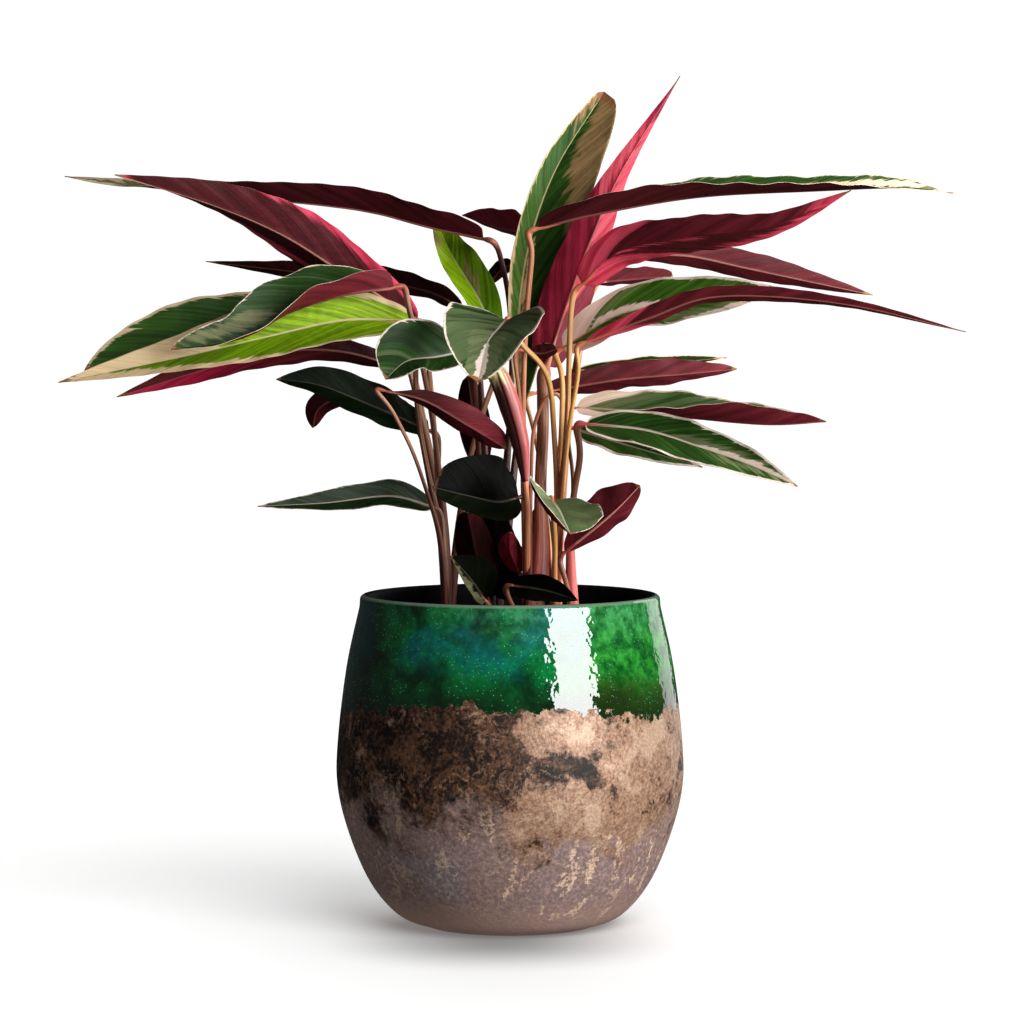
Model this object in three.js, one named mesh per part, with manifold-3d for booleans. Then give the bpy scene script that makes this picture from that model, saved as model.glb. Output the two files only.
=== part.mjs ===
// A stromanthe triostar in a glazed pot. Millimetres, +Z up, -Y towards the viewer.
// The origin is the middle of the pot's base, on the surface it stands on.
import * as THREE from "three";
import { mergeVertices } from "three/addons/utils/BufferGeometryUtils.js";
import Module from "manifold-3d";

// Pot: outer wall as [radius, height] from the foot up, widest just under half way.
const POT_OUTLINE = [
  [52, 0], [69, 7], [85, 26], [97.5, 55], [104.5, 84], [104.2, 113], [98.8, 157], [91, 193],
];
const LIP_HEIGHT = 200;
const LIP_RADIUS = 3.2;
const LIP_CENTRE = 87.6;
const WALL = 6.4;
const FLOOR = 9;
const INNER_FOOT = 0.2; // share of the outline where the inner wall starts
const INNER_CORNER = 14; // how far the floor's edge stands in from there
const POT_SEGMENTS = 48;
const OUTER_STEPS = 14;
const INNER_STEPS = 8;
const LIP_STEPS = 6;

// Soil: fills the pot to below the lip, a little higher in the middle.
const SOIL_RIM = 171;
const SOIL_SHOULDER = 175;
const SOIL_CROWN = 176;
const CLEARANCE = 0.3;

// Shoots: each stands in a plain hole in the soil, as [x, y, radius of its foot, colour].
const FOOT_BOTTOM = 148;
const FOOT_TOP = 182;
const FOOT_SIDES = 14;
const SHOOTS = {
  left: [-38, -8, 9, 0x8a5a3c],
  back: [-10, 20, 9, 0x4c1f24],
  middle: [10, -15, 9, 0xb65a50],
  orange: [28, 0, 8.5, 0xc98648],
  right: [40, -17, 6, 0xcf6f6a],
};
const STALK_SIDES = 6;
const STALK_STEP = 34; // mm of stalk to each straight piece
const ROOT_DEPTH = 6; // how far above the foot's bottom the stalks start
const FOOT_MARGIN = 3; // a stalk leaves the foot at least this far inside its edge
const FAN = 0.3; // share of a stalk's lean that it has at the top of the foot
const KNEE = 7; // the last of a stalk runs on in line with its midrib

// Blades: thickness, straight pieces along and across, and the narrowest half width at the ends.
const BLADE = 0.8;
const BLADE_STEP = 17;
const FEWEST_STEPS = 7;
const ACROSS = 4;
const TIP = 0.9;
const WAVES = 3;
const WAVE_SHIFT = 0.37; // the waves of one edge run this share of a wave ahead of the other's

// The way the upper, green face looks: at the viewer, away from the viewer, or up with the keel down.
const UPPER = [0, -0.85, 0.5];
const UNDER = [0, 0.85, 0.5];
const KEEL = [0, -0.3, 1];

// What a leaf has unless its row says otherwise.
const USUAL = {
  lift: [[20, 20], [20, 20]], curl: [10, 10], widest: 0.42, point: [0.5, 0.85], wave: 1, radius: 1.8,
};

// The leaves. midrib: from the stalk to the tip. stalk: from the shoot's foot to the midrib.
//   wide    half widths, the half on the left of someone walking up the midrib first
//   faces   the way the upper face looks, from base to tip
//   lift    degrees each half is folded up, at the base and at the tip
//   curl    degrees each half curls further by its edge
//   widest  where the blade is widest, as a share of its length
//   point   how blunt (under 1) or drawn out (over 1) the base and the tip are
//   wave    height of the waves in the edge
//   radius  of the stalk
const LEAVES = [
  { name: "left_high", shoot: "left", wide: [20, 22], faces: [UNDER, UNDER], lift: [[15, 15], [10, 62]],
    widest: 0.44, point: [0.6, 0.9],
    midrib: [[-55, -40, 366], [-94, -58, 391], [-133, -74, 416], [-175, -92, 434], [-227, -112, 450]],
    stalk: [[-39, -10, 221], [-43, -18, 270], [-46, -30, 312], [-49, -38, 348]] },
  { name: "left_keeled", shoot: "left", wide: [15, 24], faces: [KEEL, KEEL], lift: [[85, -5], [12, 75]],
    widest: 0.34, point: [0.4, 0.6],
    midrib: [[-68, -72, 385], [-96, -86, 381], [-127, -98, 371], [-155, -112, 356], [-194, -124, 350]],
    stalk: [[-38, -14, 222], [-42, -26, 270], [-46, -40, 307], [-50, -54, 331], [-55, -70, 357],
      [-60, -73, 376]] },
  { name: "left_bright", shoot: "left", wide: [21, 20], faces: [UPPER, UPPER], point: [0.55, 0.9],
    midrib: [[-57, -60, 365], [-96, -74, 366], [-139, -90, 357], [-190, -106, 345], [-259, -122, 331]],
    stalk: [[-39, -14, 222], [-48, -28, 270], [-55, -46, 313], [-55, -56, 348]] },
  { name: "left_broad", shoot: "left", wide: [14, 20], faces: [UPPER, UPPER], widest: 0.6,
    point: [0.5, 0.75],
    midrib: [[-74, -30, 376], [-118, -44, 371], [-165, -60, 363], [-208, -72, 352], [-248, -82, 337]],
    stalk: [[-40, -8, 221], [-45, -12, 270], [-54, -20, 312], [-63, -26, 348]] },
  { name: "left_under", shoot: "left", wide: [11, 15], faces: [UNDER, UNDER], widest: 0.52,
    midrib: [[-65, -15, 337], [-101, -28, 347], [-139, -40, 347], [-180, -52, 337], [-231, -64, 321]],
    stalk: [[-39, -4, 221], [-44, -6, 269], [-52, -12, 306]] },
  { name: "left_rear", shoot: "back", wide: [9, 11], faces: [UNDER, UNDER],
    midrib: [[-29, 20, 373], [-52, 40, 383], [-89, 62, 390], [-137, 84, 395], [-191, 108, 401]],
    stalk: [[-12, 20, 219], [-15, 20, 286], [-19, 18, 341]] },
  { name: "left_longest", shoot: "back", wide: [13.5, 9], faces: [UNDER, UNDER, UPPER],
    lift: [[15, 15], [60, 60]], widest: 0.38, point: [0.35, 0.9],
    midrib: [[-16, 0, 414], [-48, 18, 421], [-92, 42, 432], [-161, 66, 440], [-224, 84, 447],
      [-278, 96, 454]],
    stalk: [[-5, 24, 243], [0, 32, 304], [1, 38, 353], [-1, 34, 380], [-5, 18, 400]] },
  { name: "rear_short", shoot: "back", wide: [13, 12], faces: [UNDER, UNDER],
    midrib: [[21, 40, 416], [-3, 70, 421], [-30, 110, 430]],
    stalk: [[-2, 30, 231], [6, 40, 304], [15, 46, 365], [21, 42, 400]] },
  { name: "rear_hook", shoot: "back", wide: [6, 6], faces: [UNDER, UNDER], point: [0.5, 0.6], wave: 0.4,
    radius: 1.3,
    midrib: [[2, 52, 400], [-6, 60, 395], [-16, 66, 385]],
    stalk: [[-2, 30, 231], [5, 38, 304], [9, 44, 365], [9, 48, 393]] },
  { name: "rear_shade", shoot: "back", wide: [11, 11], faces: [UNDER, UNDER], widest: 0.5,
    point: [0.4, 0.5], wave: 0.3,
    midrib: [[-18, 34, 275], [-22, 36, 301], [-26, 38, 331]],
    stalk: [[-15, 26, 219], [-15, 32, 252]] },
  { name: "left_dark", shoot: "left", wide: [15, 14], faces: [UPPER, UPPER],
    midrib: [[-49, -5, 299], [-84, -22, 315], [-113, -38, 327], [-138, -52, 331]],
    stalk: [[-39, -2, 221], [-44, -2, 269]] },
  { name: "left_tip", shoot: "left", wide: [9, 9], faces: [UNDER, UNDER], widest: 0.5,
    point: [0.5, 0.6], wave: 0.5,
    midrib: [[-70, 12, 316], [-101, 26, 318], [-117, 34, 311], [-121, 40, 299]],
    stalk: [[-39, 2, 220], [-45, 8, 269], [-57, 12, 302]] },
  { name: "left_low", shoot: "left", wide: [10, 10], faces: [UPPER, UPPER], widest: 0.36,
    point: [0.7, 0.85],
    midrib: [[-47, -25, 254], [-71, -38, 261], [-109, -56, 258], [-148, -72, 257]],
    stalk: [[-38, -16, 204], [-40, -21, 234]] },
  { name: "mid_bright", shoot: "left", wide: [11, 14], faces: [UPPER, UPPER], widest: 0.5,
    point: [0.5, 0.6],
    midrib: [[-8, -24, 348], [-16, -16, 373], [-26, 0, 390], [-36, 18, 406], [-46, 37, 428]],
    stalk: [[-33, -4, 221], [-28, -10, 263], [-18, -20, 306]] },
  { name: "mid_upright", shoot: "middle", wide: [10, 31], faces: [UPPER, UPPER],
    lift: [[20, 20], [12, 12]], widest: 0.6, point: [0.62, 0.38],
    midrib: [[6, -5, 308], [5, 12, 359], [11, 26, 408], [28, 44, 457], [58, 60, 505]],
    stalk: [[11, -12, 233], [9, -9, 275]] },
  { name: "mid_pink", shoot: "middle", wide: [17, 17], faces: [UNDER, UNDER], widest: 0.3,
    point: [0.6, 1.15], radius: 4,
    midrib: [[22, -8, 338], [34, 2, 374], [49, 10, 414], [68, 26, 456], [104, 48, 514]],
    stalk: [[19, -14, 222], [18, -14, 264], [20, -11, 300]] },
  { name: "mid_flap", shoot: "middle", wide: [6, 6], faces: [UNDER, UNDER], widest: 0.6,
    point: [0.5, 0.5], wave: 0.5, radius: 1.3,
    midrib: [[10, -34, 347], [19, -36, 346], [28, -38, 349]],
    stalk: [[10, -22, 234], [8, -26, 288], [5, -31, 327]] },
  { name: "front_large", shoot: "orange", wide: [29, 32], faces: [KEEL, [0, -0.8, 0.6]],
    lift: [[25, 10], [20, 10]], point: [0.5, 0.62],
    midrib: [[-2, -72, 366], [-6, -98, 362], [-13, -130, 353], [-18, -160, 332]],
    stalk: [[28, -12, 221], [29, -20, 258], [26, -30, 300], [24, -40, 328], [17, -52, 342],
      [6, -60, 352]] },
  { name: "front_oval", shoot: "back", wide: [16, 24], faces: [UPPER, UPPER], widest: 0.5,
    point: [0.5, 0.5], wave: 0.6,
    midrib: [[-26, -86, 348], [-42, -100, 345], [-59, -115, 343], [-71, -130, 333]],
    stalk: [[-14, 0, 233], [-18, -25, 276], [-20, -50, 310], [-21, -72, 337]] },
  { name: "front_maroon", shoot: "left", wide: [9, 11], faces: [UNDER, UNDER], widest: 0.68,
    point: [0.7, 0.4], wave: 0.6, radius: 1.3,
    midrib: [[-73, -80, 325], [-50, -74, 319], [-26, -66, 305], [-2, -52, 290]],
    stalk: [[-41, -24, 234], [-48, -39, 259], [-57, -54, 288], [-65, -66, 305], [-71, -78, 317]] },
  { name: "front_shadow", shoot: "middle", wide: [15, 27], widest: 0.5, point: [0.45, 0.35],
    faces: [[0.6, -0.8, 0.3], [0.6, -0.8, 0.3]], wave: 0.3,
    midrib: [[5, -51, 261], [-7, -62, 259], [-23, -76, 263], [-45, -88, 269]],
    stalk: [[11, -26, 204], [12, -38, 235], [11, -45, 252]] },
  { name: "front_silver", shoot: "orange", wide: [24, 31], faces: [KEEL, KEEL],
    lift: [[0, 0], [22, 22]], curl: [10, 58], widest: 0.5, point: [0.4, 0.5],
    midrib: [[25, -60, 260], [29, -80, 255], [32, -98, 249], [35, -108, 243]],
    stalk: [[26, -26, 204], [27, -44, 235], [25, -54, 254]] },
  { name: "low_burgundy", shoot: "right", wide: [12, 16], faces: [UNDER, UNDER], widest: 0.5,
    point: [0.6, 0.6],
    midrib: [[33, -24, 227], [52, -34, 243], [65, -40, 255], [77, -44, 268]],
    stalk: [[36, -18, 198], [32, -23, 216]] },
  { name: "low_pink", shoot: "middle", wide: [8, 8], faces: [UNDER, UNDER], point: [0.5, 0.6],
    wave: 0.3,
    midrib: [[6, -16, 214], [0, -19, 227], [0, -22, 239]],
    stalk: [[10, -17, 198]] },
  { name: "rim_left", shoot: "middle", wide: [9, 16], faces: [UPPER, UPPER], wave: 0.3,
    midrib: [[-15, -35, 199], [-23, -48, 212], [-35, -62, 227]],
    stalk: [[-8, -26, 185]] },
  { name: "rim_right", shoot: "middle", wide: [9, 12], faces: [UPPER, UPPER], wave: 0.3,
    midrib: [[1, -40, 208], [21, -52, 206], [40, -64, 201]],
    stalk: [[3, -32, 192]] },
  { name: "low_rear", shoot: "middle", wide: [13, 13], faces: [UNDER, UNDER], widest: 0.5,
    point: [0.35, 0.4], wave: 0.3,
    midrib: [[-13, -8, 197], [-20, -13, 221], [-26, -20, 252]],
    stalk: [[-7, -9, 185]] },
  { name: "low_shade", shoot: "middle", wide: [14, 14], faces: [UNDER, UNDER], widest: 0.5,
    point: [0.4, 0.4], wave: 0.3,
    midrib: [[-2, 1, 196], [-7, -4, 221], [-10, -14, 249]],
    stalk: [[1, -5, 183]] },
  { name: "mid_shade", shoot: "middle", wide: [11, 11], faces: [UNDER, UNDER], widest: 0.5,
    point: [0.4, 0.5], wave: 0.3,
    midrib: [[19, 14, 195], [18, 15, 220], [18, 16, 253]],
    stalk: [[17, 4, 182]] },
  { name: "right_longest", shoot: "middle", wide: [13, 15], faces: [KEEL, KEEL],
    lift: [[20, 42], [85, -15]], point: [0.4, 1.25],
    midrib: [[17, -32, 420], [53, -36, 429], [113, -30, 439], [185, -16, 443], [238, 0, 445],
      [268, 14, 442]],
    stalk: [[10, -22, 234], [8, -24, 288], [8, -26, 330], [10, -28, 371], [12, -30, 393],
      [13, -31, 409]] },
  { name: "right_pink", shoot: "orange", wide: [18, 13], faces: [UNDER, UNDER], widest: 0.35,
    point: [0.4, 0.9],
    midrib: [[43, -38, 387], [65, -52, 407], [105, -74, 415], [151, -94, 421], [196, -112, 441]],
    stalk: [[28, -12, 221], [31, -22, 264], [34, -34, 305], [35, -41, 342], [36, -42, 369]] },
  { name: "right_stub", shoot: "orange", wide: [8, 8], faces: [UNDER, UNDER], point: [0.5, 0.4],
    wave: 0.4, radius: 1.3,
    midrib: [[54, 44, 388], [78, 75, 390], [102, 108, 392]],
    stalk: [[30, 8, 232], [33, 22, 292], [41, 33, 347]] },
  { name: "right_rear", shoot: "orange", wide: [12, 11], faces: [UNDER, UNDER], wave: 0.6,
    midrib: [[76, 30, 405], [110, 48, 404], [145, 68, 397], [184, 90, 389], [228, 112, 380]],
    stalk: [[30, 8, 232], [35, 20, 292], [43, 30, 347], [50, 34, 383]] },
  { name: "right_cream", shoot: "orange", wide: [16, 20], faces: [UPPER, UPPER], point: [0.45, 0.8],
    midrib: [[32, -16, 349], [65, -32, 369], [101, -46, 376], [130, -56, 380], [157, -64, 385]],
    stalk: [[28, -8, 221], [29, -16, 264], [31, -24, 306], [31, -22, 336]] },
  { name: "right_ribbon", shoot: "orange", wide: [6, 7], faces: [UNDER, UNDER], widest: 0.36,
    point: [0.7, 0.9], wave: 0.6, radius: 1.5,
    midrib: [[45, -56, 353], [81, -70, 367], [122, -84, 380], [191, -104, 376], [261, -124, 360]],
    stalk: [[29, -14, 222], [32, -28, 270], [36, -42, 310], [41, -52, 339]] },
  { name: "right_maroon", shoot: "orange", wide: [11, 11], faces: [UNDER, UNDER], point: [0.5, 0.7],
    radius: 1.5,
    midrib: [[16, 10, 321], [67, 20, 329], [104, 30, 332], [139, 42, 335]],
    stalk: [[24, -2, 221], [19, 2, 275], [13, 8, 305]] },
  { name: "right_edge", shoot: "orange", wide: [10, 10], faces: [[0, -0.35, 1], [0, -0.35, 1]],
    lift: [[5, 5], [5, 5]], wave: 0.4, radius: 1.3,
    midrib: [[42, 36, 334], [80, 52, 337], [112, 72, 339], [135, 90, 341]],
    stalk: [[29, 6, 220], [33, 20, 280], [38, 31, 319]] },
  { name: "right_keeled", shoot: "middle", wide: [15, 15], faces: [KEEL, KEEL],
    lift: [[60, 45], [-25, 120]], widest: 0.45, point: [0.45, 0.8], radius: 1.3,
    midrib: [[40, -14, 313], [72, -20, 311], [113, -30, 307], [154, -40, 304], [187, -50, 306]],
    stalk: [[11, -16, 222], [13, -20, 277], [14, -21, 303], [22, -20, 320], [29, -17, 322]] },
  { name: "right_striped", shoot: "right", wide: [13, 17], faces: [UPPER, UPPER], radius: 2.2,
    midrib: [[45, -40, 304], [80, -54, 301], [111, -70, 292], [140, -84, 282], [167, -98, 270]],
    stalk: [[37, -16, 204], [36, -22, 234], [38, -26, 264], [43, -32, 288]] },
  { name: "right_lower", shoot: "right", wide: [9, 11], faces: [UPPER, UPPER], radius: 1.3,
    midrib: [[40, -20, 300], [71, -34, 291], [114, -52, 279]],
    stalk: [[37, -16, 210], [37, -20, 246], [38, -22, 276]] },
];

// The new leaf, still rolled up: points of its middle with the radius at each, and its stalk.
const ROLLED = [
  [9, -52, 271, 2], [6, -56, 293, 5.2], [0, -60, 315, 6.3], [-7, -63, 333, 6], [-13, -66, 337, 4.6],
];
const ROLLED_SIDES = 8;
const ROLLED_SPAN_STEPS = 3;
const ROLLED_SHOOT = "middle";
const ROLLED_STALK = [[10, -14, 200], [10, -34, 222], [10, -48, 254]];
const ROLLED_STALK_RADIUS = 2.2;

const COLOURS = {
  glaze: { color: 0x1f6b45, roughness: 0.25, metalness: 0.1 },
  soil: { color: 0x2a1d15, roughness: 0.95, metalness: 0 },
  upper: { color: 0x35592f, roughness: 0.45, metalness: 0 },
  under: { color: 0x70253a, roughness: 0.5, metalness: 0 },
};

const wasm = await Module();
wasm.setup();
const plant = new THREE.Group();

const { degToRad, lerp, mapLinear } = THREE.MathUtils;
const vector = (p) => new THREE.Vector3(p[0], p[1], p[2]);

function addPiece(name, geometry, look) {
  const mesh = new THREE.Mesh(geometry, new THREE.MeshStandardMaterial(look));
  mesh.name = name;
  plant.add(mesh);
}

// A closed geometry as a manifold-3d solid, for joining and cutting.
function solidOf(geometry) {
  const bare = geometry.clone();
  bare.deleteAttribute("normal");
  bare.deleteAttribute("uv");
  const merged = mergeVertices(bare, 1e-3);
  const triVerts = new Uint32Array(merged.index.array);
  const vertProperties = new Float32Array(merged.attributes.position.array);
  return new wasm.Manifold(new wasm.Mesh({ numProp: 3, vertProperties, triVerts }));
}

function geometryOf(solid) {
  const mesh = solid.getMesh();
  const geometry = new THREE.BufferGeometry();
  geometry.setAttribute("position", new THREE.BufferAttribute(new Float32Array(mesh.vertProperties), 3));
  geometry.setIndex(new THREE.BufferAttribute(new Uint32Array(mesh.triVerts), 1));
  geometry.computeVertexNormals();
  return geometry;
}

// A geometry from its points and the indices of its triangles.
function shell(points, triangles) {
  const geometry = new THREE.BufferGeometry().setFromPoints(points);
  geometry.setIndex(triangles);
  geometry.computeVertexNormals();
  return geometry;
}

// ---- pot and soil

function turned(outline) {
  const profile = outline.map(([r, z]) => new THREE.Vector2(r, z));
  const geometry = new THREE.LatheGeometry(profile, POT_SEGMENTS);
  return geometry.rotateX(Math.PI / 2); // a lathe turns round Y, the pot round Z
}

const outerWall = new THREE.SplineCurve(POT_OUTLINE.map(([r, z]) => new THREE.Vector2(r, z)));

// Points up the wall, set in from its outer face.
function wallPoints(inset, start, steps) {
  const points = [];
  for (let i = 0; i <= steps; i += 1) {
    const p = outerWall.getPoint(lerp(start, 1, i / steps));
    points.push([p.x - inset, p.y]);
  }
  return points;
}

function lipPoints() {
  const points = [];
  for (let i = 1; i < LIP_STEPS; i += 1) {
    const turn = (Math.PI * i) / LIP_STEPS;
    const rise = Math.sin(turn) * LIP_RADIUS;
    points.push([LIP_CENTRE + LIP_RADIUS * Math.cos(turn), LIP_HEIGHT - LIP_RADIUS + rise]);
  }
  return points;
}

function potOutline() {
  const outer = wallPoints(0, 0, OUTER_STEPS);
  const inner = wallPoints(WALL, INNER_FOOT, INNER_STEPS).reverse();
  const corner = [inner.at(-1)[0] - INNER_CORNER, FLOOR];
  return [[0, 0], ...outer, ...lipPoints(), ...inner, corner, [0, FLOOR]];
}

function soilOutline() {
  const wall = wallPoints(WALL + CLEARANCE, INNER_FOOT, INNER_STEPS);
  const above = wall.findIndex(([, z]) => z > SOIL_RIM);
  const [low, high] = [wall[above - 1], wall[above]];
  const edge = mapLinear(SOIL_RIM, low[1], high[1], low[0], high[0]);
  const bottom = FLOOR + CLEARANCE;
  return [[0, bottom], [wall[0][0] - INNER_CORNER, bottom], ...wall.slice(0, above),
    [edge, SOIL_RIM], [edge / 2, SOIL_SHOULDER], [0, SOIL_CROWN]];
}

function roundBar([x, y, radius], bottom, top) {
  const bar = new THREE.CylinderGeometry(radius, radius, top - bottom, FOOT_SIDES);
  bar.rotateX(Math.PI / 2);
  return bar.translate(x, y, (bottom + top) / 2);
}

addPiece("pot", turned(potOutline()), COLOURS.glaze);

let soil = solidOf(turned(soilOutline()));
for (const [x, y, radius] of Object.values(SHOOTS)) {
  const hole = roundBar([x, y, radius + CLEARANCE], FOOT_BOTTOM - CLEARANCE, LIP_HEIGHT);
  soil = soil.subtract(solidOf(hole));
}
addPiece("soil", geometryOf(soil), COLOURS.soil);

// ---- blades

function leafOf(row) {
  const curve = new THREE.CatmullRomCurve3(row.midrib.map(vector), false, "catmullrom", 0.5);
  return { ...USUAL, ...row, curve };
}

// Share of the full half width at t along the blade: rounded at the base, drawn out to the tip.
function outlineAt(leaf, t) {
  const bend = Math.log(0.5) / Math.log(leaf.widest);
  return Math.max(0, Math.sin(Math.PI * t ** bend)) ** lerp(leaf.point[0], leaf.point[1], t);
}

// The midrib's place, direction, upward normal and sideways direction at t.
function ribFrame(leaf, t) {
  const at = leaf.curve.getPoint(t);
  const along = leaf.curve.getTangent(t);
  const spans = leaf.faces.length - 1;
  const k = Math.min(Math.floor(t * spans), spans - 1);
  const look = vector(leaf.faces[k]).lerp(vector(leaf.faces[k + 1]), t * spans - k);
  const up = look.addScaledVector(along, -look.dot(along)).normalize();
  return { at, along, up, side: new THREE.Vector3().crossVectors(along, up) };
}

// A point of the blade's middle surface, s from -1 at one edge to 1 at the other.
function bladePoint(leaf, t, s) {
  const { at, up, side } = ribFrame(leaf, t);
  const half = s < 0 ? 0 : 1;
  const share = outlineAt(leaf, t);
  const reach = Math.abs(s) * Math.max(TIP, leaf.wide[half] * share);
  const start = degToRad(lerp(leaf.lift[half][0], leaf.lift[half][1], t));
  const turn = degToRad(leaf.curl[half] * Math.abs(s)) / 2;
  const chord = turn ? (reach * Math.sin(turn)) / turn : reach;
  const phase = 2 * Math.PI * (WAVES * t + WAVE_SHIFT * half);
  const rise = chord * Math.sin(start + turn) + leaf.wave * Math.sin(phase) * s * s * share;
  const out = chord * Math.cos(start + turn) * (half ? 1 : -1);
  return at.addScaledVector(side, out).addScaledVector(up, rise);
}

// The blade as a closed sheet: the same grid of points on both faces, split alike, and its edge.
function bladeGeometry(leaf) {
  const steps = Math.max(FEWEST_STEPS, Math.round(leaf.curve.getLength() / BLADE_STEP));
  const middle = [];
  for (let i = 0; i <= steps; i += 1) {
    for (let j = 0; j <= ACROSS; j += 1) middle.push(bladePoint(leaf, i / steps, (2 * j) / ACROSS - 1));
  }
  const at = (i, j) => i * (ACROSS + 1) + j;
  const offset = middle.map((_, n) => {
    const i = Math.floor(n / (ACROSS + 1));
    const j = n % (ACROSS + 1);
    const along = middle[at(Math.min(i + 1, steps), j)].clone().sub(middle[at(Math.max(i - 1, 0), j)]);
    const over = middle[at(i, Math.min(j + 1, ACROSS))].clone().sub(middle[at(i, Math.max(j - 1, 0))]);
    return along.cross(over).normalize().multiplyScalar(-BLADE / 2);
  });
  const upper = middle.map((p, n) => p.clone().add(offset[n]));
  const lower = middle.map((p, n) => p.clone().sub(offset[n]));
  const triangles = [];
  const quad = (a, b, c, d) => triangles.push(a, b, c, a, c, d);
  const under = middle.length;
  for (let i = 0; i < steps; i += 1) {
    for (let j = 0; j < ACROSS; j += 1) {
      const [a, b, c, d] = [at(i, j), at(i, j + 1), at(i + 1, j + 1), at(i + 1, j)];
      quad(a, b, c, d);
      triangles.push(under + a, under + c, under + b, under + a, under + d, under + c);
    }
    quad(at(i, 0), at(i + 1, 0), under + at(i + 1, 0), under + at(i, 0));
    quad(at(i + 1, ACROSS), at(i, ACROSS), under + at(i, ACROSS), under + at(i + 1, ACROSS));
  }
  for (let j = 0; j < ACROSS; j += 1) {
    quad(at(0, j + 1), at(0, j), under + at(0, j), under + at(0, j + 1));
    quad(at(steps, j), at(steps, j + 1), under + at(steps, j + 1), under + at(steps, j));
  }
  return shell([...upper, ...lower], triangles);
}

// ---- stalks and shoots

function tubeAlong(curve, radius) {
  const ring = new THREE.Shape();
  ring.absarc(0, 0, radius, 0, 2 * Math.PI);
  const steps = Math.max(4, Math.round(curve.getLength() / STALK_STEP));
  const points = ring.getSpacedPoints(STALK_SIDES).slice(0, STALK_SIDES);
  return new THREE.ExtrudeGeometry(new THREE.Shape(points), { extrudePath: curve, steps });
}

// The curve of a stalk from inside its shoot's foot, which it leaves well inside the foot's edge.
function stalkCurve(shoot, route) {
  const [x, y, radius] = SHOOTS[shoot];
  const lean = new THREE.Vector2(route[0].x - x, route[0].y - y).multiplyScalar(FAN);
  lean.clampLength(0, radius - FOOT_MARGIN);
  const start = new THREE.Vector3(x, y, FOOT_BOTTOM + ROOT_DEPTH);
  const collar = new THREE.Vector3(x + lean.x, y + lean.y, FOOT_TOP);
  return new THREE.CatmullRomCurve3([start, collar, ...route], false, "centripetal");
}

function leafStalk(leaf) {
  const { at, along } = ribFrame(leaf, 0);
  const knee = at.clone().addScaledVector(along, -KNEE);
  const end = at.clone().addScaledVector(along, -CLEARANCE - 0.2);
  return tubeAlong(stalkCurve(leaf.shoot, [...leaf.stalk.map(vector), knee, end]), leaf.radius);
}

function rolledStalk() {
  const end = vector(ROLLED[0]).setZ(ROLLED[0][2] - CLEARANCE);
  return tubeAlong(stalkCurve(ROLLED_SHOOT, [...ROLLED_STALK.map(vector), end]), ROLLED_STALK_RADIUS);
}

// A tapering body swept along points that each carry a radius.
function spindle(rows) {
  const curve = new THREE.CatmullRomCurve3(rows.map(vector), false, "catmullrom", 0.5);
  const steps = (rows.length - 1) * ROLLED_SPAN_STEPS;
  const frames = curve.computeFrenetFrames(steps, false);
  const points = [];
  for (let i = 0; i <= steps; i += 1) {
    const t = i / ROLLED_SPAN_STEPS;
    const k = Math.min(Math.floor(t), rows.length - 2);
    const radius = lerp(rows[k][3], rows[k + 1][3], t - k);
    for (let j = 0; j < ROLLED_SIDES; j += 1) {
      const turn = (2 * Math.PI * j) / ROLLED_SIDES;
      points.push(curve.getPointAt(i / steps)
        .addScaledVector(frames.normals[i], radius * Math.cos(turn))
        .addScaledVector(frames.binormals[i], radius * Math.sin(turn)));
    }
  }
  const triangles = [];
  for (let i = 0; i < steps * ROLLED_SIDES; i += ROLLED_SIDES) {
    for (let j = 0; j < ROLLED_SIDES; j += 1) {
      const [a, b] = [i + j, i + ((j + 1) % ROLLED_SIDES)];
      triangles.push(a, b, b + ROLLED_SIDES, a, b + ROLLED_SIDES, a + ROLLED_SIDES);
    }
  }
  const last = steps * ROLLED_SIDES;
  for (let j = 1; j < ROLLED_SIDES - 1; j += 1) {
    triangles.push(0, j + 1, j, last, last + j, last + j + 1);
  }
  return shell(points, triangles);
}

const leaves = LEAVES.map(leafOf);
for (const leaf of leaves) {
  const shown = leaf.faces[0] === UNDER ? COLOURS.under : COLOURS.upper;
  addPiece(`leaf_${leaf.name}`, bladeGeometry(leaf), shown);
}
addPiece("leaf_rolled", spindle(ROLLED), COLOURS.under);

for (const [name, [x, y, radius, color]] of Object.entries(SHOOTS)) {
  const stalks = leaves.filter((leaf) => leaf.shoot === name).map(leafStalk);
  if (name === ROLLED_SHOOT) stalks.push(rolledStalk());
  let shoot = solidOf(roundBar([x, y, radius], FOOT_BOTTOM, FOOT_TOP));
  for (const stalk of stalks) shoot = shoot.add(solidOf(stalk));
  addPiece(`shoot_${name}`, geometryOf(shoot), { color, roughness: 0.5, metalness: 0 });
}

export default plant;
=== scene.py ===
# A stromanthe triostar in a glazed pot, dressed around its solid model.
# Lengths are millimetres, as in the part's own source, and a mesh is turned into metres when it is made.
# Inside the materials of the pot, the soil and the floor they are metres, as on the finished meshes.
import math
import random

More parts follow.
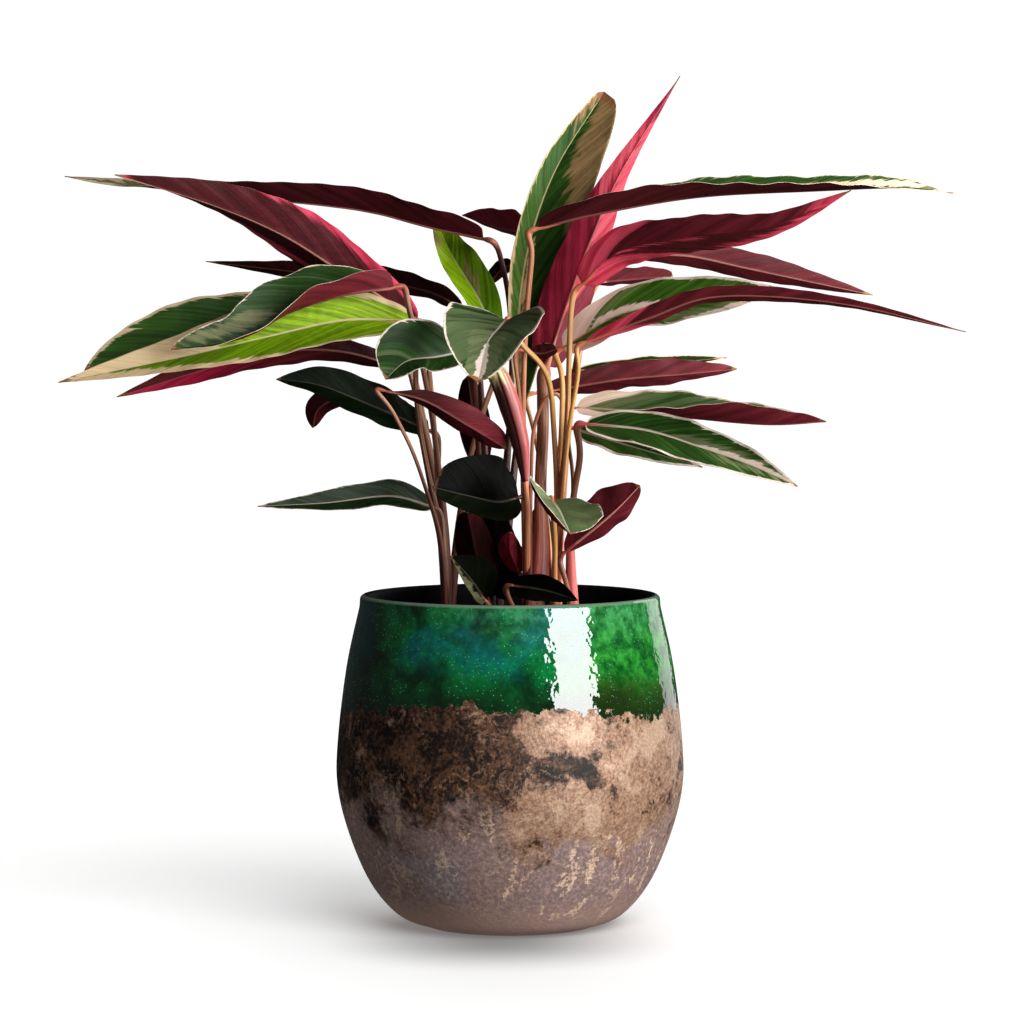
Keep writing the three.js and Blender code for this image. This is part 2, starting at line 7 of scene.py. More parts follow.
import bpy
import numpy as np
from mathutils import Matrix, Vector


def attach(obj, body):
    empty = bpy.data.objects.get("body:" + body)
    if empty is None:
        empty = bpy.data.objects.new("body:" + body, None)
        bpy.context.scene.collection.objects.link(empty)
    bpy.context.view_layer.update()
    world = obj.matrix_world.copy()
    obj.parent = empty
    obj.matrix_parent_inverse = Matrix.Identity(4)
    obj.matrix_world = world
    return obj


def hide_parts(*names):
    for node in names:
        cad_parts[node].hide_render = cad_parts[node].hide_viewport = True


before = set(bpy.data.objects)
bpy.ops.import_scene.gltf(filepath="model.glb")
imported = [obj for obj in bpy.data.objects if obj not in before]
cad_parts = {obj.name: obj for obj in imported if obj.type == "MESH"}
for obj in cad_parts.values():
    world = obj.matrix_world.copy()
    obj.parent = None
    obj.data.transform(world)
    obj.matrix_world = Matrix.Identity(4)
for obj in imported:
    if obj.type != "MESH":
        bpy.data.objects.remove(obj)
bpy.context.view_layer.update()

MM = 0.001
SEED = 7

# ---------------------------------------------------------------- sizes shared with the solid model

# The pot's outside from the flat foot up to the lip, as (radius, height).
POT_OUTLINE = [
    (52, 0), (69, 7), (85, 26), (97.5, 55), (104.5, 84), (104.2, 113), (98.8, 157), (91, 193),
]
LIP_HEIGHT = 200
LIP_RADIUS = 3.2
LIP_CENTRE = 87.6
WALL = 6.4
FLOOR = 9  # height of the pot's floor inside
SOIL_RIM = 171
SOIL_CROWN = 176

# The stalks of a shoot grow from one foot in the soil, (x, y, radius).
SHOOTS = {
    "left": (-38, -8, 9),
    "back": (-10, 20, 9),
    "middle": (10, -15, 9),
    "orange": (28, 0, 8.5),
    "right": (40, -17, 6),
}
FOOT_BOTTOM = 148
FOOT_TOP = 182
ROOT_DEPTH = 6  # how far above the foot's bottom a stalk starts
FOOT_MARGIN = 3  # between the middle of a stalk and the outside of its foot
FAN = 0.3  # the share of its way sideways to its first point that a stalk has gone at the foot's top
KNEE = 7  # from a stalk's last bend to its blade

# The way the upper, green face looks: at the viewer, away from the viewer, or up with the keel down.
UPPER = (0, -0.85, 0.5)
UNDER = (0, 0.85, 0.5)
KEEL = (0, -0.3, 1)

WAVES = 3  # along each edge of a blade
WAVE_SHIFT = 0.37  # how far the waves of one edge run ahead of the other's, in waves
BASE_HALF_WIDTH = 0.9
TIP_HALF_WIDTH = 0.3

# What a leaf has unless its row says otherwise. Its form is that of the solid model:
#   wide          half width of half -1 and of half 1
#   faces         the way the upper face looks, from base to tip
#   lift          how steeply each half rises from the midrib, (at the base, at the tip), in degrees
#   curl          how far each half bends up across its width, in degrees
#   widest        the share of the length where the blade is widest
#   point         how pointed it is at the base and at the tip
#   wave          how high the waves in it are
#   radius        of its stalk
#   midrib, stalk points on the way from the base to the tip, and from the foot to the knee
# Its finish:
#    green, red    how bright the upper and the under face are, their own tone and painted shade where a
#                  blade lies in shadow, 0 to 1, as one number for the whole blade or as (half -1 at the
#                  base, at the tip, half 1 at the base, at the tip)
#   silver        share of the upper face in grey-green brush strokes
#   margin        width of the pale edge in mm
#   warm          how far the pale zones lean from pinkish white to tan
#   blush         how far the pink zones underneath lean from hot pink to salmon
#   rib           how clearly the midrib stands out in colour
#    light         painted light and shade on the blade and its stalk: less than 1 darkens one that lies in
#                  shadow, more than 1 lightens one in the light; a stalk is never lighter than 1
#   stem          how brown and dull its stalk is, 0 to 1
#   pale, sage    cream and grey-green zones, pink underneath: (half, from, to, inner, outer), half -1 or 1,
#                 or 0 for both, from and to as shares of the length where its side veins leave the midrib,
#                 inner and outer as shares of the half width, or as pairs from one end to the other
USUAL = dict(
    lift=((20, 20), (20, 20)), curl=(10, 10), widest=0.42, point=(0.5, 0.85), wave=1.0, radius=1.8,
    green=0.4, red=0.4, silver=0.3, margin=0.9, warm=0.35, blush=0.2, rib=0.7, light=1.0, stem=0.4,
    pale=(), sage=(),
)

LEAVES = [
    dict(name="left_high", shoot="left", wide=(20, 22), faces=(UNDER, UNDER), lift=((15, 15), (10, 62)),
         widest=0.44, point=(0.6, 0.9), red=(0.36, 0.32, 0.38, 0.34), rib=1.0, blush=0.1,
         pale=[(-1, -0.3, 0.38, (0.5, 1.0), 1), (1, 0.14, 0.6, (0.55, 0.9), 1), (0, 0.95, 1.2, 0, 1)],
         midrib=[(-55, -40, 366), (-94, -58, 391), (-133, -74, 416), (-175, -92, 434), (-227, -112, 450)],
         stalk=[(-39, -10, 221), (-43, -18, 270), (-46, -30, 312), (-49, -38, 348)]),
    dict(name="left_keeled", shoot="left", wide=(15, 24), faces=(KEEL, KEEL), lift=((85, -5), (12, 75)),
         widest=0.34, point=(0.4, 0.6), green=0.36, red=(0.44, 0.44, 0.4, 0.4), silver=0.2, margin=0.5,
         rib=0.3, sage=[(1, 0.45, 0.9, 0.2, (0.7, 1))],
         midrib=[(-68, -72, 385), (-96, -86, 381), (-127, -98, 371), (-155, -112, 356), (-194, -124, 350)],
         stalk=[(-38, -14, 222), (-42, -26, 270), (-46, -40, 307), (-50, -54, 331), (-55, -70, 357),
                (-60, -73, 376)]),
    dict(name="left_bright", shoot="left", wide=(21, 20), faces=(UPPER, UPPER), point=(0.55, 0.9),
         green=(0.9, 0.72, 1.0, 0.8), silver=0.0, margin=1.3, warm=0.85, rib=1.0,
         pale=[(1, 0.38, 0.56, (0.9, 0), 1), (1, 0.54, 1.2, 0, 1), (-1, 0.15, 0.6, (0.92, 0.6), 1),
               (-1, 0.6, 0.95, (0.6, 0), 1), (0, 0.9, 1.2, 0, 1), (1, -0.2, 0.16, 0.8, 1)],
         midrib=[(-57, -60, 365), (-96, -74, 366), (-139, -90, 357), (-190, -106, 345), (-259, -122, 331)],
         stalk=[(-39, -14, 222), (-48, -28, 270), (-55, -46, 313), (-55, -56, 348)]),
    dict(name="left_broad", shoot="left", wide=(14, 20), faces=(UPPER, UPPER), widest=0.6,
         point=(0.5, 0.75), green=0.47, silver=0.0, margin=1.5, warm=0.75,
         pale=[(1, 0.15, 0.5, 0.95, 1), (1, 0.62, 0.95, 0.8, 1)],
         midrib=[(-74, -30, 376), (-118, -44, 371), (-165, -60, 363), (-208, -72, 352), (-248, -82, 337)],
         stalk=[(-40, -8, 221), (-45, -12, 270), (-54, -20, 312), (-63, -26, 348)]),
    dict(name="left_under", shoot="left", wide=(11, 15), faces=(UNDER, UNDER), widest=0.52,
         red=(0.08, 0.5, 0.14, 0.95), rib=0.3,
         midrib=[(-65, -15, 337), (-101, -28, 347), (-139, -40, 347), (-180, -52, 337), (-231, -64, 321)],
         stalk=[(-39, -4, 221), (-44, -6, 269), (-52, -12, 306)]),
    dict(name="left_rear", shoot="back", wide=(9, 11), faces=(UNDER, UNDER), red=(0.26, 0.16, 0.32, 0.16),
         rib=0.2, midrib=[(-29, 20, 373), (-52, 40, 383), (-89, 62, 390), (-137, 84, 395), (-191, 108, 401)],
         stalk=[(-12, 20, 219), (-15, 20, 286), (-19, 18, 341)]),
    dict(name="left_longest", shoot="back", wide=(13.5, 9), faces=(UNDER, UNDER, UPPER),
         lift=((15, 15), (60, 60)), widest=0.38, point=(0.35, 0.9), red=(0.42, 0.26, 0.42, 0.26), green=0.45,
         warm=0.5, rib=0.8, pale=[(0, 0.85, 1.2, 0.35, 1)], sage=[(0, 0.74, 1.2, 0, 1)],
         midrib=[(-16, 0, 414), (-48, 18, 421), (-92, 42, 432), (-161, 66, 440), (-224, 84, 447),
                 (-278, 96, 454)],
         stalk=[(-5, 24, 243), (0, 32, 304), (1, 38, 353), (-1, 34, 380), (-5, 18, 400)]),
    dict(name="rear_short", shoot="back", wide=(13, 12), faces=(UNDER, UNDER), red=(0.62, 0.6, 0.6, 0.5),
         rib=0.2, midrib=[(21, 40, 416), (-3, 70, 421), (-30, 110, 430)],
         stalk=[(-2, 30, 231), (6, 40, 304), (15, 46, 365), (21, 42, 400)]),
    dict(name="rear_hook", shoot="back", wide=(6, 6), faces=(UNDER, UNDER), point=(0.5, 0.6), wave=0.4,
         radius=1.3, red=0.12, rib=0.2, midrib=[(2, 52, 400), (-6, 60, 395), (-16, 66, 385)],
         stalk=[(-2, 30, 231), (5, 38, 304), (9, 44, 365), (9, 48, 393)]),
    dict(name="rear_shade", shoot="back", wide=(11, 11), faces=(UNDER, UNDER), widest=0.5, point=(0.4, 0.5),
         wave=0.3, red=(0.34, 0.3, 0.2, 0.2), rib=0.2, light=0.5,
         midrib=[(-18, 34, 275), (-22, 36, 301), (-26, 38, 331)],
         stalk=[(-15, 26, 219), (-15, 32, 252)]),
    dict(name="left_dark", shoot="left", wide=(15, 14), faces=(UPPER, UPPER), green=0.14, silver=0.0,
         margin=0.0, rib=0.2, light=0.5,
         midrib=[(-49, -5, 299), (-84, -22, 315), (-113, -38, 327), (-138, -52, 331)],
         stalk=[(-39, -2, 221), (-44, -2, 269)]),
    dict(name="left_tip", shoot="left", wide=(9, 9), faces=(UNDER, UNDER), widest=0.5, point=(0.5, 0.6),
         wave=0.5, red=0.32, rib=0.3,
         midrib=[(-70, 12, 316), (-101, 26, 318), (-117, 34, 311), (-121, 40, 299)],
         stalk=[(-39, 2, 220), (-45, 8, 269), (-57, 12, 302)]),
    dict(name="left_low", shoot="left", wide=(10, 10), faces=(UPPER, UPPER), widest=0.36, point=(0.7, 0.85),
         green=0.26, silver=0.1, margin=0.3, warm=0.1, light=0.8,
         midrib=[(-47, -25, 254), (-71, -38, 261), (-109, -56, 258), (-148, -72, 257)],
         stalk=[(-38, -16, 204), (-40, -21, 234)]),
    dict(name="mid_bright", shoot="left", wide=(11, 14), faces=(UPPER, UPPER), widest=0.5, point=(0.5, 0.6),
         green=(0.8, 0.95, 0.7, 0.85), silver=0.0, margin=0.0, warm=0.8, rib=0.5,
         sage=[(1, 0.3, 0.5, 0.1, 0.35), (-1, 0.6, 0.9, 0.5, 1)],
         midrib=[(-8, -24, 348), (-16, -16, 373), (-26, 0, 390), (-36, 18, 406), (-46, 37, 428)],
         stalk=[(-33, -4, 221), (-28, -10, 263), (-18, -20, 306)]),
    dict(name="mid_upright", shoot="middle", wide=(10, 31), faces=(UPPER, UPPER),
         lift=((20, 20), (12, 12)), widest=0.6, point=(0.62, 0.38), green=(0.8, 0.4, 0.4, 0.44), silver=0.0,
         margin=0.8, warm=1.0, rib=1.0, light=1.15,
         pale=[(-1, -0.4, 0.45, (0.2, 0.85), 1), (1, 0.06, 0.5, (0.1, 0.04), (0.2, 0.1))],
         sage=[(1, 0.28, 0.7, (0.8, 0.25), 1), (1, 0.7, 1.2, (0.25, 0.1), 1), (-1, 0.84, 1.2, 0.3, 1)],
         midrib=[(6, -5, 308), (5, 12, 359), (11, 26, 408), (28, 44, 457), (58, 60, 505)],
         stalk=[(11, -12, 233), (9, -9, 275)]),
    dict(name="mid_pink", shoot="middle", wide=(17, 17), faces=(UNDER, UNDER), widest=0.3, point=(0.6, 1.15),
         radius=4.0, stem=0.55, red=(0.5, 0.66, 0.6, 0.74), blush=0.35, rib=0.4, light=0.88,
         pale=[(-1, 0.16, 0.8, (0.0, 0.1), 1), (1, 0.45, 0.8, 0.3, 1)],
         midrib=[(22, -8, 338), (34, 2, 374), (49, 10, 414), (68, 26, 456), (104, 48, 514)],
         stalk=[(19, -14, 222), (18, -14, 264), (20, -11, 300)]),
    dict(name="mid_flap", shoot="middle", wide=(6, 6), faces=(UNDER, UNDER), widest=0.6, point=(0.5, 0.5),
         wave=0.5, radius=1.3, red=0.3, rib=0.2, midrib=[(10, -34, 347), (19, -36, 346), (28, -38, 349)],
         stalk=[(10, -22, 234), (8, -26, 288), (5, -31, 327)]),
    dict(name="front_large", shoot="orange", wide=(29, 32), faces=(KEEL, (0, -0.8, 0.6)),
         lift=((25, 10), (20, 10)), point=(0.5, 0.62), green=0.32, silver=0.8, margin=1.5, warm=0.1, rib=1.0,
         pale=[(0, 0.6, 1.2, 0, (0.03, 0.5))], sage=[(0, 0.4, 1.1, 0.04, (0.3, 0.9))],
         midrib=[(-2, -72, 366), (-6, -98, 362), (-13, -130, 353), (-18, -160, 332)],
         stalk=[(28, -12, 221), (29, -20, 258), (26, -30, 300), (24, -40, 328), (17, -52, 342),
                (6, -60, 352)]),
    dict(name="front_oval", shoot="back", wide=(16, 24), faces=(UPPER, UPPER), widest=0.5, point=(0.5, 0.5),
         wave=0.6, green=0.36, silver=0.3, margin=1.0, warm=0.1,
         midrib=[(-26, -86, 348), (-42, -100, 345), (-59, -115, 343), (-71, -130, 333)],
         stalk=[(-14, 0, 233), (-18, -25, 276), (-20, -50, 310), (-21, -72, 337)]),
    dict(name="front_maroon", shoot="left", wide=(9, 11), faces=(UNDER, UNDER), widest=0.68,
         point=(0.7, 0.4), wave=0.6, radius=1.3, red=(0.14, 0.46, 0.14, 0.56), rib=0.2,
         midrib=[(-73, -80, 325), (-50, -74, 319), (-26, -66, 305), (-2, -52, 290)],
         stalk=[(-41, -24, 234), (-48, -39, 259), (-57, -54, 288), (-65, -66, 305), (-71, -78, 317)]),
    dict(name="front_shadow", shoot="middle", wide=(15, 27), widest=0.5, point=(0.45, 0.35), wave=0.3,
         faces=((0.6, -0.8, 0.3), (0.6, -0.8, 0.3)), green=(0.2, 0.2, 0.0, 0.0), silver=0.0, margin=0.0,
         rib=0.25, light=0.26,
         midrib=[(5, -51, 261), (-7, -62, 259), (-23, -76, 263), (-45, -88, 269)],
         stalk=[(11, -26, 204), (12, -38, 235), (11, -45, 252)]),
    dict(name="front_silver", shoot="orange", wide=(24, 31), faces=(KEEL, KEEL), lift=((0, 0), (22, 22)),
         curl=(10, 58), widest=0.5, point=(0.4, 0.5), green=0.36, silver=1.2, margin=0.5, warm=0.1,
         sage=[(1, -0.3, 1.2, 0.1, 1), (-1, 0.3, 0.8, 0.2, 0.7)],
         midrib=[(25, -60, 260), (29, -80, 255), (32, -98, 249), (35, -108, 243)],
         stalk=[(26, -26, 204), (27, -44, 235), (25, -54, 254)]),
    dict(name="low_burgundy", shoot="right", wide=(12, 16), faces=(UNDER, UNDER), widest=0.5,
         point=(0.6, 0.6), red=0.42, rib=1.0,
         midrib=[(33, -24, 227), (52, -34, 243), (65, -40, 255), (77, -44, 268)],
         stalk=[(36, -18, 198), (32, -23, 216)]),
    dict(name="low_pink", shoot="middle", wide=(8, 8), faces=(UNDER, UNDER), wave=0.3, point=(0.5, 0.6),
         red=0.6, rib=0.0,
         midrib=[(6, -16, 214), (0, -19, 227), (0, -22, 239)], stalk=[(10, -17, 198)]),
    dict(name="rim_left", shoot="middle", wide=(9, 16), faces=(UPPER, UPPER), wave=0.3, green=0.0,
         silver=0.0, margin=0.0, rib=0.1, light=0.6, sage=[(-1, -0.5, 1.2, 0.35, 1)],
         midrib=[(-15, -35, 199), (-23, -48, 212), (-35, -62, 227)], stalk=[(-8, -26, 185)]),
    dict(name="rim_right", shoot="middle", wide=(9, 12), faces=(UPPER, UPPER), wave=0.3, green=0.0,
         silver=0.0, margin=0.0, rib=0.2, light=0.5,
         midrib=[(1, -40, 208), (21, -52, 206), (40, -64, 201)], stalk=[(3, -32, 192)]),
    dict(name="low_rear", shoot="middle", wide=(13, 13), faces=(UNDER, UNDER), widest=0.5,
         point=(0.35, 0.4), wave=0.3, red=(0.0, 0.4, 0.0, 0.2), rib=0.0, light=0.5,
         midrib=[(-13, -8, 197), (-20, -13, 221), (-26, -20, 252)], stalk=[(-7, -9, 185)]),
    dict(name="low_shade", shoot="middle", wide=(14, 14), faces=(UNDER, UNDER), widest=0.5,
         point=(0.4, 0.4), wave=0.3, red=0.02, rib=0.0, light=0.5,
         midrib=[(-2, 1, 196), (-7, -4, 221), (-10, -14, 249)], stalk=[(1, -5, 183)]),
    dict(name="mid_shade", shoot="middle", wide=(11, 11), faces=(UNDER, UNDER), widest=0.5,
         point=(0.4, 0.5), wave=0.3, red=0.16, rib=0.0, light=0.5,
         midrib=[(19, 14, 195), (18, 15, 220), (18, 16, 253)], stalk=[(17, 4, 182)]),
    dict(name="right_longest", shoot="middle", wide=(13, 15), faces=(KEEL, KEEL), lift=((20, 42), (85, -15)),
         point=(0.4, 1.25), red=(0.24, 0.24, 0.3, 0.26), green=0.4, silver=0.0, margin=0.4, warm=0.5,
         rib=0.3,
         pale=[(-1, 0.5, 0.9, (0.3, 0.05), (0.36, 0.85)), (0, 0.95, 1.2, 0.0, 1)],
         sage=[(-1, 0.5, 0.98, 0.05, (0.4, 0.95))],
         midrib=[(17, -32, 420), (53, -36, 429), (113, -30, 439), (185, -16, 443), (238, 0, 445),
                 (268, 14, 442)],
         stalk=[(10, -22, 234), (8, -24, 288), (8, -26, 330), (10, -28, 371), (12, -30, 393),
                (13, -31, 409)]),
    dict(name="right_pink", shoot="orange", wide=(18, 13), faces=(UNDER, UNDER), widest=0.35,
         point=(0.4, 0.9), red=(0.4, 0.4, 0.36, 0.5), rib=0.0, light=1.1,
         pale=[(0, -0.6, 0.12, 0.0, 1), (-1, 0.3, 0.85, (0.8, 0.3), 1), (0, 0.84, 1.2, 0, 1),
               (-1, 0.1, 0.45, 0.06, (0.1, 0.2))],
         midrib=[(43, -38, 387), (65, -52, 407), (105, -74, 415), (151, -94, 421), (196, -112, 441)],
         stalk=[(28, -12, 221), (31, -22, 264), (34, -34, 305), (35, -41, 342), (36, -42, 369)]),
    dict(name="right_stub", shoot="orange", wide=(8, 8), faces=(UNDER, UNDER), point=(0.5, 0.4), wave=0.4,
         radius=1.3, red=0.4, rib=0.1, midrib=[(54, 44, 388), (78, 75, 390), (102, 108, 392)],
         stalk=[(30, 8, 232), (33, 22, 292), (41, 33, 347)]),
    dict(name="right_rear", shoot="orange", wide=(12, 11), faces=(UNDER, UNDER), wave=0.6, red=0.35,
         rib=0.3, light=1.15,
         midrib=[(76, 30, 405), (110, 48, 404), (145, 68, 397), (184, 90, 389), (228, 112, 380)],
         stalk=[(30, 8, 232), (35, 20, 292), (43, 30, 347), (50, 34, 383)]),
    dict(name="right_cream", shoot="orange", wide=(16, 20), faces=(UPPER, UPPER), point=(0.45, 0.8),
         green=0.54, silver=0.1, margin=1.5, warm=0.1, rib=0.6, light=1.35,
         pale=[(-1, -0.6, 0.12, 0, 1), (1, -0.6, 0.02, 0, 1), (-1, 0.14, 0.62, (0.02, 0.02), (0.3, 0.12)),
               (1, 0.3, 0.8, (0.9, 0.5), (0.95, 0.9)), (0, 0.86, 1.2, (0.4, 0), 1)],
         sage=[(-1, 0.12, 0.2, 0, 1), (1, 0.3, 0.9, 0.4, 1)],
         midrib=[(32, -16, 349), (65, -32, 369), (101, -46, 376), (130, -56, 380), (157, -64, 385)],
         stalk=[(28, -8, 221), (29, -16, 264), (31, -24, 306), (31, -22, 336)]),
    dict(name="right_ribbon", shoot="orange", wide=(6, 7), faces=(UNDER, UNDER), widest=0.36,
         point=(0.7, 0.9), radius=1.5, wave=0.6, red=0.42, rib=0.4, light=1.1,
         pale=[(0, -0.6, 0.1, 0.0, 1), (0, 0.97, 1.2, 0, 1)],
         midrib=[(45, -56, 353), (81, -70, 367), (122, -84, 380), (191, -104, 376), (261, -124, 360)],
         stalk=[(29, -14, 222), (32, -28, 270), (36, -42, 310), (41, -52, 339)]),
    dict(name="right_maroon", shoot="orange", wide=(11, 11), faces=(UNDER, UNDER), point=(0.5, 0.7),
         radius=1.5, red=(0.3, 0.5, 0.3, 0.42), rib=0.2, light=1.1,
         midrib=[(16, 10, 321), (67, 20, 329), (104, 30, 332), (139, 42, 335)],
         stalk=[(24, -2, 221), (19, 2, 275), (13, 8, 305)]),
    dict(name="right_edge", shoot="orange", wide=(10, 10), faces=((0, -0.35, 1), (0, -0.35, 1)),
         lift=((5, 5), (5, 5)), wave=0.4, radius=1.3, green=0.3, silver=0.0, warm=0.9, light=1.2,
         pale=[(0, 0.9, 1.2, 0, 1)],
         midrib=[(42, 36, 334), (80, 52, 337), (112, 72, 339), (135, 90, 341)],
         stalk=[(29, 6, 220), (33, 20, 280), (38, 31, 319)]),
    dict(name="right_keeled", shoot="middle", wide=(15, 15), faces=(KEEL, KEEL), lift=((60, 45), (-25, 120)),
         widest=0.45, point=(0.45, 0.8), radius=1.3, red=0.46, green=0.4, silver=0.8, warm=0.3, rib=0.5,
         light=1.1,
         pale=[(0, -0.6, 0.03, 0, 1)], sage=[(0, -0.3, 0.1, 0.05, 0.8)],
         midrib=[(40, -14, 313), (72, -20, 311), (113, -30, 307), (154, -40, 304), (187, -50, 306)],
         stalk=[(11, -16, 222), (13, -20, 277), (14, -21, 303), (22, -20, 320), (29, -17, 322)]),
    dict(name="right_striped", shoot="right", wide=(13, 17), faces=(UPPER, UPPER), radius=2.2,
         green=0.38, silver=0.1, margin=1.5, warm=0.15, rib=1.0, light=1.2,
         pale=[(-1, 0.5, 1.2, 0, (0.1, 0.8)), (1, 0.84, 1.2, (0.9, 0.5), 1)],
         sage=[(-1, 0.34, 1.2, 0, (0.25, 1)), (1, 0.55, 0.9, 0.1, 0.5)],
         midrib=[(45, -40, 304), (80, -54, 301), (111, -70, 292), (140, -84, 282), (167, -98, 270)],
         stalk=[(37, -16, 204), (36, -22, 234), (38, -26, 264), (43, -32, 288)]),
    dict(name="right_lower", shoot="right", wide=(9, 11), faces=(UPPER, UPPER), radius=1.3,
         green=0.42, silver=0.0, margin=1.8, warm=0.1, light=1.15, pale=[(-1, 0.2, 1.0, 0.4, 0.65)],
         midrib=[(40, -20, 300), (71, -34, 291), (114, -52, 279)],
         stalk=[(37, -16, 210), (37, -20, 246), (38, -22, 276)]),
]

# The new leaf that is still rolled up: points up its middle, with its radius at each.
ROLLED = [
    (9, -52, 271, 2.0), (6, -56, 293, 5.2), (0, -60, 315, 6.3), (-7, -63, 333, 6.0), (-13, -66, 337, 4.6),
]
ROLLED_SHOOT = "middle"
ROLLED_STALK = [(10, -14, 200), (10, -34, 222), (10, -48, 254)]

# ---------------------------------------------------------------- curves


def cubic(start, end, leave, arrive, w):
    w = w[:, None]
    return (start * (2 * w**3 - 3 * w**2 + 1) + leave * (w**3 - 2 * w**2 + w)
            + end * (3 * w**2 - 2 * w**3) + arrive * (w**3 - w**2))


def smooth_line(points, ts, even_knots=True):
    """Places at ts, 0 to 1, along a Catmull-Rom curve: uniform knots, or centripetal ones."""
    points = np.array(points, float)
    points = np.vstack([2 * points[0] - points[1], points, 2 * points[-1] - points[-2]])
    spans = len(points) - 3
    at = np.clip(np.asarray(ts, float), 0, 1) * spans
    k = np.minimum(at.astype(int), spans - 1)
    p0, p1, p2, p3 = (points[k + n] for n in range(4))
    if even_knots:
        leave, arrive = (p2 - p0) / 2, (p3 - p1) / 2
    else:
        d0, d1, d2 = (np.linalg.norm(b - a, axis=1, keepdims=True) ** 0.5
                      for a, b in ((p0, p1), (p1, p2), (p2, p3)))
        leave = ((p1 - p0) / d0 - (p2 - p0) / (d0 + d1) + (p2 - p1) / d1) * d1
        arrive = ((p2 - p1) / d1 - (p3 - p1) / (d1 + d2) + (p3 - p2) / d2) * d1
    return cubic(p1, p2, leave, arrive, at - k)


def distances(line):
    """How far along a line each of its points lies."""
    return np.concatenate([[0], np.cumsum(np.linalg.norm(np.diff(line, axis=0), axis=1))])


def unit(v):
    return v / np.maximum(np.linalg.norm(v, axis=-1, keepdims=True), 1e-9)


def smoothstep(low, high, x):
    x = np.clip((x - low) / (high - low), 0, 1)
    return x * x * (3 - 2 * x)


def between(pair, share):
    """This share of the way from the first of a pair to the second, or a single number as it is."""
    return pair if np.isscalar(pair) else pair[0] + (pair[1] - pair[0]) * share


# ---------------------------------------------------------------- meshes


def put_in_scene(name, data):
    made = bpy.data.objects.new(name, data)
    bpy.context.scene.collection.objects.link(made)
    return made


def new_piece(name, vertices, faces, materials, smooth=True):
    """A mesh object at the origin from points in mm."""
    mesh = bpy.data.meshes.new(name)
    mesh.from_pydata((np.asarray(vertices) * MM).tolist(), [], faces)
    for material in materials:
        mesh.materials.append(material)
    mesh.polygons.foreach_set("use_smooth", [smooth] * len(mesh.polygons))
    mesh.update()
    return put_in_scene(name, mesh)


def point_values(mesh, name, values):
    attribute = mesh.attributes.new(name, "FLOAT", "POINT")
    attribute.data.foreach_set("value", np.asarray(values, np.float32).ravel())


def closed_sheet(name, outer, inner, materials):
    """A piece from two grids of points: its two faces and the narrow rim between them. The last material
    goes on the inner face. With it come the numbers of the points round the outer face's edge."""
    rows, columns = outer.shape[:2]
    count = rows * columns
    index = np.arange(count).reshape(rows, columns)
    a, b, c, d = index[:-1, :-1], index[:-1, 1:], index[1:, 1:], index[1:, :-1]
    outside = np.stack([a, b, c, d], -1).reshape(-1, 4)
    inside = np.stack([a, d, c, b], -1).reshape(-1, 4) + count
    edge = np.concatenate([index[0, :], index[1:, -1], index[-1, -2::-1], index[-2:0:-1, 0]])
    after = np.roll(edge, -1)
    rim = np.stack([edge, edge + count, after + count, after], -1)
    vertices = np.vstack([outer.reshape(-1, 3), inner.reshape(-1, 3)])
    piece = new_piece(name, vertices, np.vstack([outside, inside, rim]).tolist(), materials)
    slots = np.zeros(len(piece.data.polygons), np.int32)
    slots[len(outside):-len(rim)] = len(materials) - 1
    piece.data.polygons.foreach_set("material_index", slots)
    return piece, edge


def on_both_faces(grid, shape):
    """The values of a grid, once for the outer face of a closed sheet and once for its inner face."""
    return np.tile(np.broadcast_to(grid, shape).ravel(), 2)


def sheet_values(mesh, shape, values):
    for name, grid in values.items():
        point_values(mesh, name, on_both_faces(grid, shape))


def sheet_uv(mesh, name, shape, u, v):
    """A UV map on both faces of a closed sheet, from a grid of each coordinate."""
    uv = np.stack([on_both_faces(u, shape), on_both_faces(v, shape)], -1)
    corners = np.empty(len(mesh.loops), np.int32)
    mesh.loops.foreach_get("vertex_index", corners)
    layer = mesh.uv_layers.new(name=name)
    layer.data.foreach_set("uv", np.asarray(uv, np.float32)[corners].ravel())


# ---------------------------------------------------------------- node trees


def join(tree, value, socket):
    """Links an output to an input socket, or sets the input to a plain value."""
    if isinstance(value, bpy.types.NodeSocket):
        tree.links.new(value, socket)
    else:
        socket.default_value = value


def add(tree, kind, inputs=None, **settings):
    node = tree.nodes.new(kind)
    for key, value in settings.items():
        setattr(node, key, value)
    for key, value in (inputs or {}).items():
        join(tree, value, node.inputs[key])
    return node


def maths(tree, operation, a, b=0.0):
    return add(tree, "ShaderNodeMath", {0: a, 1: b}, operation=operation).outputs[0]


def plus(tree, a, b):
    return maths(tree, "ADD", a, b)


def minus(tree, a, b):
    return maths(tree, "SUBTRACT", a, b)


def times(tree, a, b):
    return maths(tree, "MULTIPLY", a, b)


def larger(tree, a, b):
    return maths(tree, "MAXIMUM", a, b)


def fade(tree, value, low, high, start=0.0, end=1.0):
    """From start to end, in a smooth step, while value goes from low to high."""
    inputs = {"Value": value, "From Min": low, "From Max": high, "To Min": start, "To Max": end}
    return add(tree, "ShaderNodeMapRange", inputs, interpolation_type="SMOOTHSTEP").outputs[0]


def vector(tree, x, y=0.0, z=0.0):
    return add(tree, "ShaderNodeCombineXYZ", {0: x, 1: y, 2: z}).outputs[0]


def blend(tree, factor, a, b, mode="MIX"):
    inputs = {0: factor, 6: a, 7: b}
    return add(tree, "ShaderNodeMix", inputs, data_type="RGBA", blend_type=mode).outputs[2]


def part_way(tree, share, start, end):
    """The place at this share of the way from start to end."""
    return add(tree, "ShaderNodeMix", {0: share, 4: start, 5: end}, data_type="VECTOR").outputs[1]


def brightened(tree, colour, light):
    """The colour times a number."""
    return blend(tree, 1.0, colour, vector(tree, light, light, light), "MULTIPLY")


